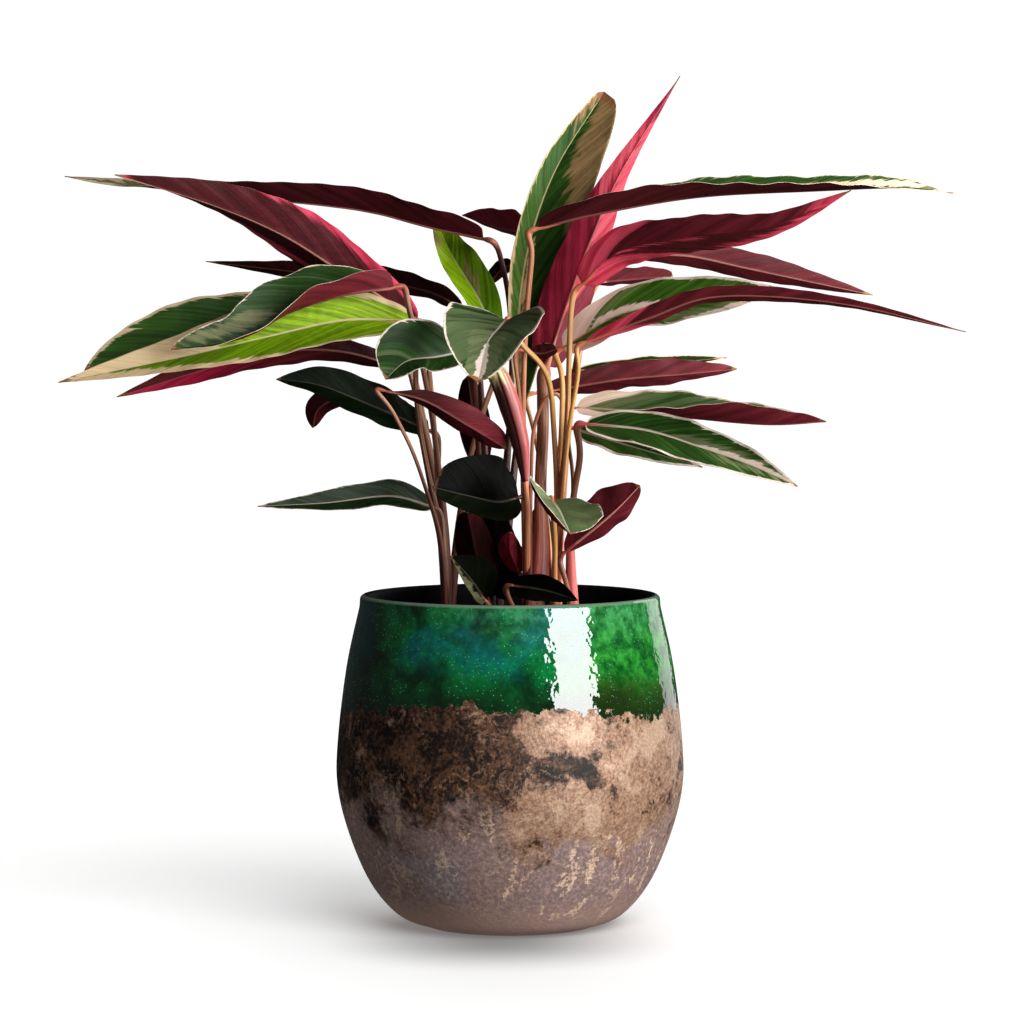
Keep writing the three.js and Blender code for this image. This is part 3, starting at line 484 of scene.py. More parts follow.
def noise(tree, place, scale=1.0, detail=2.0, roughness=0.5, distortion=0.0):
    inputs = {"Vector": place, "Scale": scale, "Detail": detail, "Roughness": roughness,
              "Distortion": distortion}
    return add(tree, "ShaderNodeTexNoise", inputs).outputs[0]


def ramp(tree, factor, stops):
    node = add(tree, "ShaderNodeValToRGB", {"Fac": factor})
    bar = node.color_ramp
    while len(bar.elements) < len(stops):
        bar.elements.new(1.0)
    for element, (place, colour) in zip(bar.elements, stops):
        element.position = place
        element.color = colour
    return node.outputs[0]


def relief(tree, height, distance, strength):
    """A bumpy normal from a value from 0 to 1; distance is the height of the bumps in metres."""
    inputs = {"Strength": strength, "Distance": distance, "Height": height}
    return add(tree, "ShaderNodeBump", inputs).outputs[0]


def attribute(tree, name):
    return add(tree, "ShaderNodeAttribute", attribute_name=name).outputs["Fac"]


def uv_parts(tree, name):
    """The two coordinates of a UV map."""
    parts = add(tree, "ShaderNodeSeparateXYZ", {0: add(tree, "ShaderNodeUVMap", uv_map=name).outputs[0]})
    return parts.outputs[0], parts.outputs[1]


def object_place(tree):
    return add(tree, "ShaderNodeTexCoord").outputs["Object"]


def patch(tree, place, centre, radius):
    """1 at a centre in mm, falling to 0 at the radius."""
    centre = tuple(c * MM for c in centre)
    away = add(tree, "ShaderNodeVectorMath", {0: place, 1: centre}, operation="DISTANCE").outputs["Value"]
    return fade(tree, away, radius * MM, 0.0)


def patches(tree, place, first, second):
    """The stronger of two patches, each (centre, radius)."""
    return larger(tree, patch(tree, place, *first), patch(tree, place, *second))


def shade(red, green, blue):
    """A colour as it shows on a screen, 0 to 255, in the linear values that a shader takes."""
    def linear(c):
        c = c / 255
        return c / 12.92 if c <= 0.04045 else ((c + 0.055) / 1.055) ** 2.4
    return (linear(red), linear(green), linear(blue), 1.0)


def new_material(name):
    material = bpy.data.materials.new(name)
    material.use_nodes = True
    material.node_tree.nodes.clear()
    return material, material.node_tree


def finish(tree, shader):
    add(tree, "ShaderNodeOutputMaterial", {"Surface": shader})


def finish_surface(tree, inputs):
    """Ends a material in one plain surface with these inputs."""
    finish(tree, add(tree, "ShaderNodeBsdfPrincipled", inputs).outputs[0])


# ---------------------------------------------------------------- leaf materials

VEIN_RELIEF = 0.0003
HALF_SHIFT = 7.3  # keeps the patterns on the two halves of a blade apart
# The darkest ends of these ramps serve as painted shade for blades that lie in shadow.
GREENS = [
    (0.0, shade(10, 15, 6)), (0.3, shade(30, 54, 22)), (0.5, shade(56, 100, 28)),
    (0.75, shade(102, 146, 14)), (1.0, shade(156, 194, 16)),
]
REDS = [
    (0.0, shade(18, 7, 8)), (0.3, shade(68, 18, 22)), (0.5, shade(114, 34, 44)),
    (0.75, shade(168, 26, 60)), (1.0, shade(226, 52, 94)),
]
DRIED = shade(150, 104, 66)


def blade_places(tree):
    """(vein, away, side): how far along the midrib the point's side vein starts and how far from the
    midrib the point lies, both in cm, and a number that tells the two halves apart."""
    vein, across = uv_parts(tree, "vein")
    away = maths(tree, "ABSOLUTE", across)
    side = times(tree, maths(tree, "GREATER_THAN", across, 0.0), HALF_SHIFT)
    return vein, away, side


def along_veins(tree, places, fine, run):
    """A place for a noise: fine features across the side veins, drawn out along them."""
    vein, away, side = places
    return vector(tree, times(tree, vein, fine), times(tree, away, run), side)


def zone_mask(tree, places, name, feather, soft):
    """1 in the zones of this name, whose edges break up into streaks along the side veins."""
    broad = noise(tree, along_veins(tree, places, 1.3, 0.1), detail=5.0, roughness=0.62)
    rare = noise(tree, along_veins(tree, places, 4.0, 0.12), detail=2.0)
    moved = plus(tree, fade(tree, broad, 0.25, 0.75, -feather, feather),
                 fade(tree, rare, 0.6, 0.72, 0.0, feather))
    return fade(tree, plus(tree, attribute(tree, name), moved), -soft, soft)


def margin_mask(tree, places):
    """1 on the thin pale margin, from the attribute edge: how far into the margin a point lies, in mm."""
    broad = noise(tree, along_veins(tree, places, 1.6, 0.2), detail=3.0)
    rare = noise(tree, along_veins(tree, places, 4.5, 0.2), detail=2.0)
    moved = plus(tree, fade(tree, broad, 0.3, 0.7, -0.4, 0.3), fade(tree, rare, 0.6, 0.74, 0.0, 1.6))
    return fade(tree, plus(tree, attribute(tree, "edge"), moved), -0.25, 0.25)


def midrib_mask(tree, places, width):
    """1 on the midrib, which narrows towards the tip."""
    along, _ = uv_parts(tree, "blade")
    _, away, _ = places
    half = fade(tree, along, 0.0, 1.0, width, width * 0.25)
    ratio = maths(tree, "DIVIDE", away, half)
    return times(tree, fade(tree, ratio, 1.2, 0.5), attribute(tree, "rib"))


def dry_tip(tree, places):
    """1 on the last few millimetres, where the blade has dried to brown."""
    along, _ = uv_parts(tree, "blade")
    ragged = noise(tree, along_veins(tree, places, 2.0, 0.5), detail=3.0)
    return fade(tree, plus(tree, along, fade(tree, ragged, 0.3, 0.7, -0.015, 0.015)), 0.965, 0.985)


def vein_lines(tree, places):
    return noise(tree, along_veins(tree, places, 9.0, 0.3), detail=2.0)


def fine_light(tree, places, lines):
    """Thin lines along the side veins and an even mottling of the skin, as light around 0."""
    skin = noise(tree, along_veins(tree, places, 7.0, 7.0), detail=4.0, roughness=0.7)
    return plus(tree, fade(tree, lines, 0.3, 0.7, -0.12, 0.12), fade(tree, skin, 0.3, 0.7, -0.14, 0.14))


def finish_leaf(tree, places, colour, rough, glow, gloss):
    """Ends a leaf's material: dried at the tip, darkened or lightened by its painted light and shade, with
    fine veins as relief and a share, glow, of the light from the far side."""
    dried = blend(tree, dry_tip(tree, places), colour, DRIED)
    # painted light and shade: the blade's light darkens or lightens its whole colour
    lit = brightened(tree, dried, attribute(tree, "light"))
    fine = noise(tree, along_veins(tree, places, 11.0, 0.5), detail=1.0)
    normal = relief(tree, fine, VEIN_RELIEF, 0.6)
    inputs = {"Base Color": lit, "Roughness": rough, "Normal": normal, "Specular IOR Level": gloss}
    surface = add(tree, "ShaderNodeBsdfPrincipled", inputs)
    through = add(tree, "ShaderNodeBsdfTranslucent", {"Color": lit, "Normal": normal})
    leaf = add(tree, "ShaderNodeMixShader", {0: glow, 1: surface.outputs[0], 2: through.outputs[0]})
    finish(tree, leaf.outputs[0])


def upper_material(name, gloss):
    """Green with darker and lighter feathering, silvery strokes, grey-green and cream zones, a pale rib."""
    material, tree = new_material(name)
    places = blade_places(tree)
    green = ramp(tree, attribute(tree, "green"), GREENS)
    stripes = noise(tree, along_veins(tree, places, 1.7, 0.25), detail=3.0, roughness=0.55)
    lines = vein_lines(tree, places)
    fine = fine_light(tree, places, lines)
    feathered = brightened(tree, green, plus(tree, fade(tree, stripes, 0.3, 0.7, 0.55, 1.35), fine))
    strokes = noise(tree, along_veins(tree, places, 1.1, 0.12), detail=4.0, roughness=0.6)
    silver = plus(tree, strokes, times(tree, attribute(tree, "silver"), 0.3))
    grey = blend(tree, 0.35, shade(126, 142, 98), green)
    silvered = blend(tree, fade(tree, silver, 0.62, 0.74, 0.0, 0.65), feathered, grey)
    sage = zone_mask(tree, places, "sage", 3.4, 1.2)
    worn_green = blend(tree, attribute(tree, "warm"), shade(136, 152, 108), shade(176, 138, 94))
    greener = fade(tree, attribute(tree, "warm"), 0.3, 1.0, 0.5, 0.15)
    worn = plus(tree, fade(tree, stripes, 0.3, 0.7, 0.7, 1.2), fine)
    sage_colour = brightened(tree, blend(tree, greener, worn_green, green), worn)
    toned = blend(tree, sage, silvered, sage_colour)
    cream = blend(tree, attribute(tree, "warm"), shade(246, 230, 218), shade(238, 210, 156))
    pale = larger(tree, zone_mask(tree, places, "pale", 1.5, 0.5), margin_mask(tree, places))
    stain = blend(tree, 0.6, green, worn_green)
    stained = blend(tree, fade(tree, lines, 0.52, 0.7, 0.0, 0.35), cream, stain)
    zoned = blend(tree, pale, toned, brightened(tree, stained, fade(tree, stripes, 0.3, 0.7, 0.84, 1.05)))
    colour = blend(tree, midrib_mask(tree, places, 0.11), zoned, blend(tree, 0.25, cream, green))
    finish_leaf(tree, places, colour, fade(tree, stripes, 0.2, 0.8, 0.5, 0.38), 0.2, gloss)
    return material


def under_material(name, gloss):
    """Wine red with darker and lighter feathering, bright pink zones and a pale pink midrib."""
    material, tree = new_material(name)
    places = blade_places(tree)
    red = ramp(tree, attribute(tree, "red"), REDS)
    stripes = noise(tree, along_veins(tree, places, 0.9, 0.12), detail=4.0, roughness=0.5)
    fine = fine_light(tree, places, vein_lines(tree, places))
    feathered = brightened(tree, red, plus(tree, fade(tree, stripes, 0.3, 0.7, 0.66, 1.34), fine))
    hot = blend(tree, fade(tree, stripes, 0.3, 0.7), shade(178, 18, 54), shade(226, 70, 108))
    salmon = blend(tree, fade(tree, stripes, 0.3, 0.7), shade(196, 72, 76), shade(232, 128, 120))
    pink = blend(tree, attribute(tree, "blush"), hot, salmon)
    zoned = blend(tree, zone_mask(tree, places, "pale", 2.4, 1.5), feathered, pink)
    colour = blend(tree, midrib_mask(tree, places, 0.085), zoned, shade(212, 142, 124))
    finish_leaf(tree, places, colour, fade(tree, stripes, 0.2, 0.8, 0.58, 0.46), 0.16, gloss)
    return material


def rolled_material():
    """The new leaf's outside: wine brown to salmon round it, painted shade on the far side and painted
    light on the side towards the lamps, cream and green at the open end.
    """
    material, tree = new_material("leaf_rolled_face")
    along, around = uv_parts(tree, "blade")
    drawn_out = vector(tree, times(tree, along, 3.0), times(tree, around, 22.0))
    streaks = noise(tree, drawn_out, detail=4.0, roughness=0.6)
    # painted light and shade: salmon on the side towards the lamps, wine brown on the far side
    body = blend(tree, attribute(tree, "lit_side"), shade(66, 26, 26), shade(166, 78, 74))
    streaked = brightened(tree, body, fade(tree, streaks, 0.3, 0.7, 0.72, 1.25))
    climb = plus(tree, attribute(tree, "height"), fade(tree, streaks, 0.25, 0.75, -0.12, 0.12))
    top = blend(tree, fade(tree, streaks, 0.4, 0.6), shade(150, 150, 84), shade(206, 190, 140))
    colour = blend(tree, fade(tree, climb, 0.62, 0.86), streaked, top)
    finish_surface(tree, {"Base Color": colour, "Roughness": 0.4, "Specular IOR Level": 0.4})
    return material


# ---------------------------------------------------------------- leaves

HALF_COLUMNS = np.array([0, 0.035, 0.08, 0.16, 0.27, 0.39, 0.51, 0.63, 0.74, 0.84, 0.92, 0.975, 1.0])
COLUMNS = np.concatenate([-HALF_COLUMNS[:0:-1], HALF_COLUMNS])
ROW_STEP = 2.3  # of midrib to each row of points
FEWEST_ROWS = 24
MIDRIB_SAMPLES = 60
HALF_THICKNESS = 0.26
EDGE_THINNING = 0.12
RIB_HALF_WIDTH = 0.08  # as a share of the blade's half width
RIB_HEIGHT = (0.75, 0.25)  # under the blade, at the base and at the tip
GROOVE = 0.45  # how deep the midrib lies in the upper face, as a share of its height
FINEST_TURN = 1e-6  # keeps a flat half from dividing by nothing
QUILT = 0.26  # height of the quilting between the side veins
QUILT_LENGTH = 8.5
FOLD = 0.55  # height of the broad folds across a half
FOLD_LENGTH = 27
RIPPLE = 0.6  # height of the small waves at the edge
RIPPLE_LENGTHS = (17, 26)
DRIFTS = ((1.5, 13), (2.2, 29))  # two slow waves that keep the quilting uneven, (height, length)
VEIN_SLOPES = (0.7, 2.4)  # the least and the greatest
VEIN_STEP = 31.7  # from one blade's vein pattern to the next one's, in cm
FIELD_LIMIT = 8.0  # the furthest that a zone's distances go
SHADE = 0.7  # a blade in painted shade below this light takes the duller, shaded copies of its materials


def by_half(pair, s):
    return np.where(s < 0, pair[0], pair[1])


def outline_at(leaf, t):
    bend = math.log(0.5) / math.log(leaf["widest"])
    return np.maximum(0, np.sin(np.pi * t**bend)) ** between(leaf["point"], t)


def rib_frame(leaf, ts):
    """The midrib's places, directions, upward normals and sideways directions."""
    at = smooth_line(leaf["midrib"], ts)
    step = 1e-4
    along = unit(smooth_line(leaf["midrib"], ts + step) - smooth_line(leaf["midrib"], ts - step))
    faces = np.array(leaf["faces"], float)
    place = ts * (len(faces) - 1)
    k = np.minimum(place.astype(int), len(faces) - 2)
    look = faces[k] + (faces[k + 1] - faces[k]) * (place - k)[:, None]
    up = unit(look - along * np.sum(look * along, axis=1, keepdims=True))
    return at, along, up, np.cross(along, up)


def spread(value, t, s):
    """One number for the blade, or (left base, left tip, right base, right tip), at each point."""
    if np.isscalar(value):
        return value
    side = smoothstep(-0.06, 0.06, s)
    return between(value[:2], t) * (1 - side) + between(value[2:], t) * side


def vein_slope(leaf, length):
    """How far a side vein runs towards the tip for each mm away from the midrib, further in a slim blade."""
    least, greatest = VEIN_SLOPES
    return min(greatest, max(least, 0.24 * length / max(leaf["wide"]) + 0.1))


def zone_field(zones, vein, reach, half_width, length, slope, s):
    """How far a point lies inside the nearest zone, in mm, and below 0 outside them all."""
    field = -FIELD_LIMIT
    for half, start, end, inner, outer in zones:
        along = np.clip((vein / length - start) / (end - start), 0, 1)
        inside = np.minimum(vein - start * length, end * length - vein) / math.hypot(1, slope)
        if inner != 0:
            inside = np.minimum(inside, (reach - between(inner, along)) * half_width)
        if outer != 1:
            inside = np.minimum(inside, (between(outer, along) - reach) * half_width)
        if half:
            inside = np.where(s * half >= 0, inside, -FIELD_LIMIT)
        field = np.maximum(field, inside)
    return np.clip(field, -FIELD_LIMIT, FIELD_LIMIT)


def blade_piece(leaf, number, materials):
    """The blade as a closed sheet with a raised midrib, quilted between its side veins. Its points lie in
    rows along the midrib, t from 0 to 1, and columns across it, s from -1 to 1."""
    dice = random.Random(SEED + number)
    length = distances(smooth_line(leaf["midrib"], np.linspace(0, 1, MIDRIB_SAMPLES)))[-1]
    ts = np.linspace(0, 1, max(FEWEST_ROWS, round(length / ROW_STEP)) + 1)
    at, _, up, side = rib_frame(leaf, ts)
    t, s = ts[:, None], COLUMNS[None, :]
    arc = distances(at)[:, None]
    reach = np.abs(s)
    half = np.where(s < 0, -1, 1)
    right = (s >= 0).astype(float)
    share = outline_at(leaf, t)
    half_width = np.maximum(between((BASE_HALF_WIDTH, TIP_HALF_WIDTH), t), by_half(leaf["wide"], s) * share)
    away = reach * half_width
    slope = vein_slope(leaf, length)
    vein = arc - away * slope - away**2 / (2 * half_width)

    start = np.radians(by_half([between(lift, t) for lift in leaf["lift"]], s))
    turn = np.radians(by_half(leaf["curl"], s) * reach) / 2 + FINEST_TURN
    chord = away * np.sin(turn) / turn
    swing = np.sin(2 * np.pi * (WAVES * t + WAVE_SHIFT * right))
    shift = dice.uniform(0, 20)
    ripple_length = dice.uniform(*RIPPLE_LENGTHS)
    ripple = RIPPLE * np.sin(2 * np.pi * (arc + shift + 9 * right) / ripple_length) * reach**3
    drift = vein
    for turns, (height, run) in enumerate(DRIFTS, 1):
        drift = drift + height * np.sin(vein / run + turns * shift)
    fold = FOLD * np.sin(2 * np.pi * drift / FOLD_LENGTH + shift + 2 * right) * reach * (1.3 - reach)
    play = leaf["wave"] * (swing * s * s + ripple + fold)
    out = chord * np.cos(start + turn) * half
    rise = chord * np.sin(start + turn) + play * share
    middle = at[:, None] + side[:, None] * out[..., None] + up[:, None] * rise[..., None]

    normal = unit(np.cross(np.gradient(middle, axis=1), np.gradient(middle, axis=0)))
    thick = HALF_THICKNESS - EDGE_THINNING * reach**4
    quilt = QUILT * np.sin(2 * np.pi * drift / QUILT_LENGTH) * smoothstep(0.02, 0.25, reach) * (1 - reach**2)
    rib = np.maximum(0, 1 - reach / RIB_HALF_WIDTH) * between(RIB_HEIGHT, t) * smoothstep(0, 0.05, t)
    upper = middle + normal * (thick + quilt * share - GROOVE * rib)[..., None]
    lower = middle - normal * (thick - quilt * share + rib)[..., None]
    piece, edge = closed_sheet("blade_" + leaf["name"], upper, lower, materials)
    mesh, shape = piece.data, middle.shape[:2]
    sharpen_rim(mesh, edge)

    margin = leaf["margin"] - (1 - reach) * half_width if leaf["margin"] else -FIELD_LIMIT
    values = {"edge": np.maximum(margin, -FIELD_LIMIT)}
    for name in ("pale", "sage"):
        values[name] = zone_field(leaf[name], vein, reach, half_width, length, slope, s)
    # green and red hold the blade's own tone and painted shade; light holds its painted light and shade
    for name in ("green", "red"):
        values[name] = spread(leaf[name], t, s)
    for name in ("silver", "warm", "blush", "rib", "light"):
        values[name] = leaf[name]
    sheet_values(mesh, shape, values)
    sheet_uv(mesh, "vein", shape, vein / 10 + VEIN_STEP * number, away * half / 10)
    sheet_uv(mesh, "blade", shape, t, s / 2 + 0.5)
    return piece


def sharpen_rim(mesh, edge):
    """Marks the edges between the two faces and the narrow rim as sharp."""
    count = len(mesh.vertices) // 2
    on_rim = np.zeros(2 * count, bool)
    on_rim[edge] = on_rim[edge + count] = True
    ends = np.empty(2 * len(mesh.edges), np.int32)
    mesh.edges.foreach_get("vertices", ends)
    ends = ends.reshape(-1, 2)
    same_face = (ends < count).all(1) | (ends >= count).all(1)
    neighbours = on_rim[ends].all(1) & same_face
    mesh.attributes.new("sharp_edge", "BOOLEAN", "EDGE").data.foreach_set("value", neighbours)


# ---------------------------------------------------------------- stalks

STALK_STEP = 2.5
EASING = 28  # times each point of a stalk moves halfway to the middle of its neighbours
SLIMNESS = 0.9  # a finished stalk's radius as a share of the solid one's
SHEATH = 1.75  # how much thicker a stalk is in its sheath, low down
SHEATH_FADE = (0.62, 0.3)  # the shares of its height between which it thickens downwards
KNEE_SWELL = 0.18  # how much thicker a stalk is at its knee, as a share
KNEE_AT = 8  # before its end
KNEE_SPAN = 5
NECK = 5  # the last of it, which narrows
NECK_TAPER = 0.4
INTO_BLADE = 1.0
STALK_SAMPLES = 80
UNDER_BLADE = (0.02, 0.14)  # the share of its blade that a stalk runs on under, thinner and thinner
TRAIL_POINTS = 6
TRAIL_RADIUS = 0.35  # at the end of that
RING_POINTS = 14
STRAND_STEP = 1.37  # keeps the streaks of two stalks apart
ROLLED_STALK_POINTS = 30
ROLLED_STALK_RADII = (3.2, 1.7)
# The colours of a shoot's stalks in the sheath, above it and at the knee, and how dark their streaks are.
STALK_LOOKS = {
    "left": (shade(112, 64, 50), shade(176, 124, 92), shade(176, 80, 70), 0.5),
    "back": (shade(60, 26, 24), shade(84, 38, 30), shade(190, 112, 84), 0.5),
    "middle": (shade(204, 108, 92), shade(192, 122, 84), shade(206, 120, 92), 0.35),
    "orange": (shade(214, 128, 98), shade(212, 160, 92), shade(214, 110, 84), 0.25),
    "right": (shade(214, 100, 98), shade(120, 72, 48), shade(200, 80, 84), 0.35),
}


def stalk_route(shoot, route):
    x, y, radius = SHOOTS[shoot]
    lean = np.array([route[0][0] - x, route[0][1] - y]) * FAN
    size = np.linalg.norm(lean)
    if size > radius - FOOT_MARGIN:
        lean *= (radius - FOOT_MARGIN) / size
    return [(x, y, FOOT_BOTTOM + ROOT_DEPTH), (x + lean[0], y + lean[1], FOOT_TOP), *route]


def stalk_line(points, radius, height, leaf):
    """What a stalk grows from: points up its middle, with the values that each of them carries."""
    # light carries its leaf's painted shade onto the stalk, never above 1
    return dict(points=points, radius=radius * MM, height=height, brown=leaf["stem"],
                light=min(1.0, leaf["light"]))


def leaf_stalk(leaf):
    """A leaf's stalk: sheathed low down, swollen at the knee, then trailing off under the blade."""
    at, along, _, _ = rib_frame(leaf, np.array([0.0]))
    knee, end = at[0] - along[0] * KNEE, at[0] + along[0] * INTO_BLADE
    route = stalk_route(leaf["shoot"], [*leaf["stalk"], tuple(knee), tuple(end)])
    length = distances(smooth_line(route, np.linspace(0, 1, STALK_SAMPLES), even_knots=False))[-1]
    steps = max(8, round(length / STALK_STEP))
    points = smooth_line(route, np.linspace(0, 1, steps + 1), even_knots=False)
    for _ in range(EASING):
        points[1:-1] = (points[:-2] + 2 * points[1:-1] + points[2:]) / 4
    arc = distances(points)
    left = arc[-1] - arc
    slim = leaf["radius"] * SLIMNESS
    sheathed = between((slim, slim * SHEATH), smoothstep(*SHEATH_FADE, arc / arc[-1]))
    knee_bulge = slim * KNEE_SWELL * np.exp(-(((left - KNEE_AT) / KNEE_SPAN) ** 2))
    radius = (sheathed + knee_bulge) * (1 - NECK_TAPER * smoothstep(NECK, 0, left))
    rib, _, up, _ = rib_frame(leaf, np.linspace(*UNDER_BLADE, TRAIL_POINTS))
    points = np.vstack([points, rib - up * TRAIL_RADIUS])
    radius = np.concatenate([radius, np.linspace(radius[-1] * 0.9, TRAIL_RADIUS, TRAIL_POINTS)])
    height = np.concatenate([arc / arc[-1], np.ones(TRAIL_POINTS)])
    return stalk_line(points, radius, height, leaf)


def rolled_leaf_stalk():
    route = stalk_route(ROLLED_SHOOT, [*ROLLED_STALK, ROLLED[0][:3]])
    height = np.linspace(0, 1, ROLLED_STALK_POINTS)
    points = smooth_line(route, height, even_knots=False)
    return stalk_line(points, between(ROLLED_STALK_RADII, height), height, USUAL)


def socket(tree, name, kind, way="INPUT"):
    return tree.interface.new_socket(name=name, in_out=way, socket_type=kind)


def stalk_tree():
    """Geometry nodes that turn lines with a radius at each point into round stalks."""
    tree = bpy.data.node_groups.new("stalks", "GeometryNodeTree")
    socket(tree, "Geometry", "NodeSocketGeometry")
    sides = socket(tree, "Sides", "NodeSocketInt")
    look = socket(tree, "Material", "NodeSocketMaterial")
    socket(tree, "Geometry", "NodeSocketGeometry", "OUTPUT")
    given = add(tree, "NodeGroupInput")
    line = add(tree, "GeometryNodeMeshToCurve", {"Mesh": given.outputs["Geometry"]})
    radius = add(tree, "GeometryNodeInputNamedAttribute", {"Name": "radius"}, data_type="FLOAT")
    sized = add(tree, "GeometryNodeSetCurveRadius",
                {"Curve": line.outputs[0], "Radius": radius.outputs["Attribute"]})
    ring = add(tree, "GeometryNodeCurvePrimitiveCircle",
               {"Resolution": given.outputs["Sides"], "Radius": 1.0})
    turn = add(tree, "GeometryNodeSplineParameter")
    marked = add(tree, "GeometryNodeStoreNamedAttribute",
                 {"Geometry": ring.outputs[0], "Name": "around", "Value": turn.outputs["Factor"]},
                 data_type="FLOAT", domain="POINT")
    tube = add(tree, "GeometryNodeCurveToMesh",
               {"Curve": sized.outputs[0], "Profile Curve": marked.outputs[0], "Fill Caps": True})
    if "Scale" in tube.inputs:  # where there is one, the ring takes its size from this input instead
        join(tree, radius.outputs["Attribute"], tube.inputs["Scale"])
    real = add(tree, "GeometryNodeRealizeInstances", {"Geometry": tube.outputs[0]})
    soft = add(tree, "GeometryNodeSetShadeSmooth", {"Geometry": real.outputs[0]})
    dressed = add(tree, "GeometryNodeSetMaterial",
                  {"Geometry": soft.outputs[0], "Material": given.outputs["Material"]})
    add(tree, "NodeGroupOutput", {"Geometry": dressed.outputs[0]})
    return tree, sides.identifier, look.identifier


def grown(piece, tree, values):
    """The piece as a plain mesh after the geometry nodes have run with these values."""
    modifier = piece.modifiers.new("grow", "NODES")
    modifier.node_group = tree
    for key, value in values.items():
        modifier[key] = value
    seen = piece.evaluated_get(bpy.context.evaluated_depsgraph_get())
    mesh = bpy.data.meshes.new_from_object(seen)
    piece.modifiers.clear()
    piece.data = mesh
    return piece


def shoot_piece(name, stalks, nodes, material):
    """All the stalks of one shoot as one mesh."""
    tree, sides_key, look_key = nodes
    points = np.vstack([stalk["points"] for stalk in stalks])
    counts = [len(stalk["points"]) for stalk in stalks]
    tops = set(np.cumsum(counts) - 1)
    edges = [(i, i + 1) for i in range(len(points)) if i not in tops]
    mesh = bpy.data.meshes.new(name)
    mesh.from_pydata((points * MM).tolist(), edges, [])
    for key in ("radius", "height", "brown", "light"):
        values = [np.broadcast_to(stalk[key], count) for stalk, count in zip(stalks, counts)]
        point_values(mesh, key, np.concatenate(values))
    point_values(mesh, "strand", np.repeat(np.arange(len(stalks)) * STRAND_STEP, counts))
    return grown(put_in_scene(name, mesh), tree, {sides_key: RING_POINTS, look_key: material})


def along_stalk(tree, round_scale, height_scale):
    """A place for a noise on a stalk, drawn out upwards."""
    around, height = attribute(tree, "around"), attribute(tree, "height")
    return vector(tree, times(tree, around, round_scale), times(tree, height, height_scale),
                  attribute(tree, "strand"))


def stalk_material(name, low, high, knee, dark):
    """Stalks: a sheath colour low down, another above, a flushed knee under the blade, fine long streaks."""
    material, tree = new_material(name)
    height = attribute(tree, "height")
    streaks = noise(tree, along_stalk(tree, 7.0, 2.0), detail=4.0, roughness=0.6)
    lines = noise(tree, along_stalk(tree, 24.0, 2.6), detail=3.0, roughness=0.6)
    shift = plus(tree, height, fade(tree, streaks, 0.2, 0.8, -0.2, 0.2))
    body = blend(tree, fade(tree, shift, 0.35, 0.72), low, high)
    dull = times(tree, attribute(tree, "brown"), fade(tree, streaks, 0.35, 0.6, 1.0, 0.5))
    dulled = blend(tree, dull, body, shade(92, 56, 46))
    flushed = blend(tree, fade(tree, height, 0.94, 0.985, 0.0, 0.8), dulled, knee)
    light = plus(tree, fade(tree, streaks, 0.3, 0.7, 1.0 - dark, 1.2),
                 fade(tree, lines, 0.3, 0.7, -0.28, 0.34))
    # painted shade: the stalk is darkened by its leaf's light
    colour = brightened(tree, flushed, times(tree, light, attribute(tree, "light")))
    rough = fade(tree, streaks, 0.2, 0.8, 0.5, 0.34)
    finish_surface(tree, {"Base Color": colour, "Roughness": rough, "Specular IOR Level": 0.4,
                          "Normal": relief(tree, lines, 0.0004, 0.6)})
    return material


# ---------------------------------------------------------------- rolled leaf

ROLLED_TURNS = 1.35
ROLLED_ROWS = 60
ROLLED_COLUMNS = 48
ROLLED_THICKNESS = 0.35
ROLLED_GROWTH = (0.94, 1.08)  # from the inner end of the winding to the outer one, in radii
SEAM_ANGLE = -0.5
LIT_SIDE_ANGLE = 0.1  # where the painted light on the side towards the lamps is strongest


def rolled_piece(material):
    """The new leaf: a sheet wound once and a third round itself, open at a seam down its length."""
    ts = np.linspace(0, 1, ROLLED_ROWS + 1)
    line = smooth_line([p[:3] for p in ROLLED], ts)
    radius = np.interp(ts, np.linspace(0, 1, len(ROLLED)), [p[3] for p in ROLLED])
    along = unit(np.gradient(line, axis=0))
    side = unit(np.cross(along, np.array([0.0, -1.0, 0.2])))
    front = np.cross(side, along)
    angle = np.linspace(0, 2 * np.pi * ROLLED_TURNS, ROLLED_COLUMNS + 1) + SEAM_ANGLE
    growth = between(ROLLED_GROWTH, np.linspace(0, 1, ROLLED_COLUMNS + 1))
    ring = (np.cos(angle)[None, :, None] * side[:, None] + np.sin(angle)[None, :, None] * front[:, None])
    outer = line[:, None] + ring * (radius[:, None] * growth[None, :])[..., None]
    piece, _ = closed_sheet("blade_rolled", outer, outer - ring * ROLLED_THICKNESS, [material])
    shape, height = outer.shape[:2], ts[:, None]
    # painted light: 1 on the side of the roll towards the lamps, 0 on the far side
    lit_side = smoothstep(-0.5, 1.0, np.cos(angle - LIT_SIDE_ANGLE))[None, :]
    sheet_values(piece.data, shape, {"height": height, "lit_side": lit_side})
    sheet_uv(piece.data, "blade", shape, height, (angle / (2 * np.pi))[None, :])
    return piece


# ---------------------------------------------------------------- pot

POT_SEGMENTS = 256
BOTTOM_RADIUS = 49
INNER_FOOT = 0.2  # where the inner wall starts, as a share of the outline
INNER_CORNER = 14  # from the inner wall's foot to the flat floor
OUTER_STEPS = 90
INNER_STEPS = 40
LIP_STEPS = 13

# Where the glaze shows more of one finish: (centre, radius).
COPPER = (((34, -98, 136), 30), ((80, -64, 118), 46))
GOLD = (((46, -92, 76), 28), ((8, -101, 68), 26))
DARK = (((-24, -101, 98), 50), ((38, -94, 108), 22))
COOL_CLAY = ((-46, -80, 38), 36)


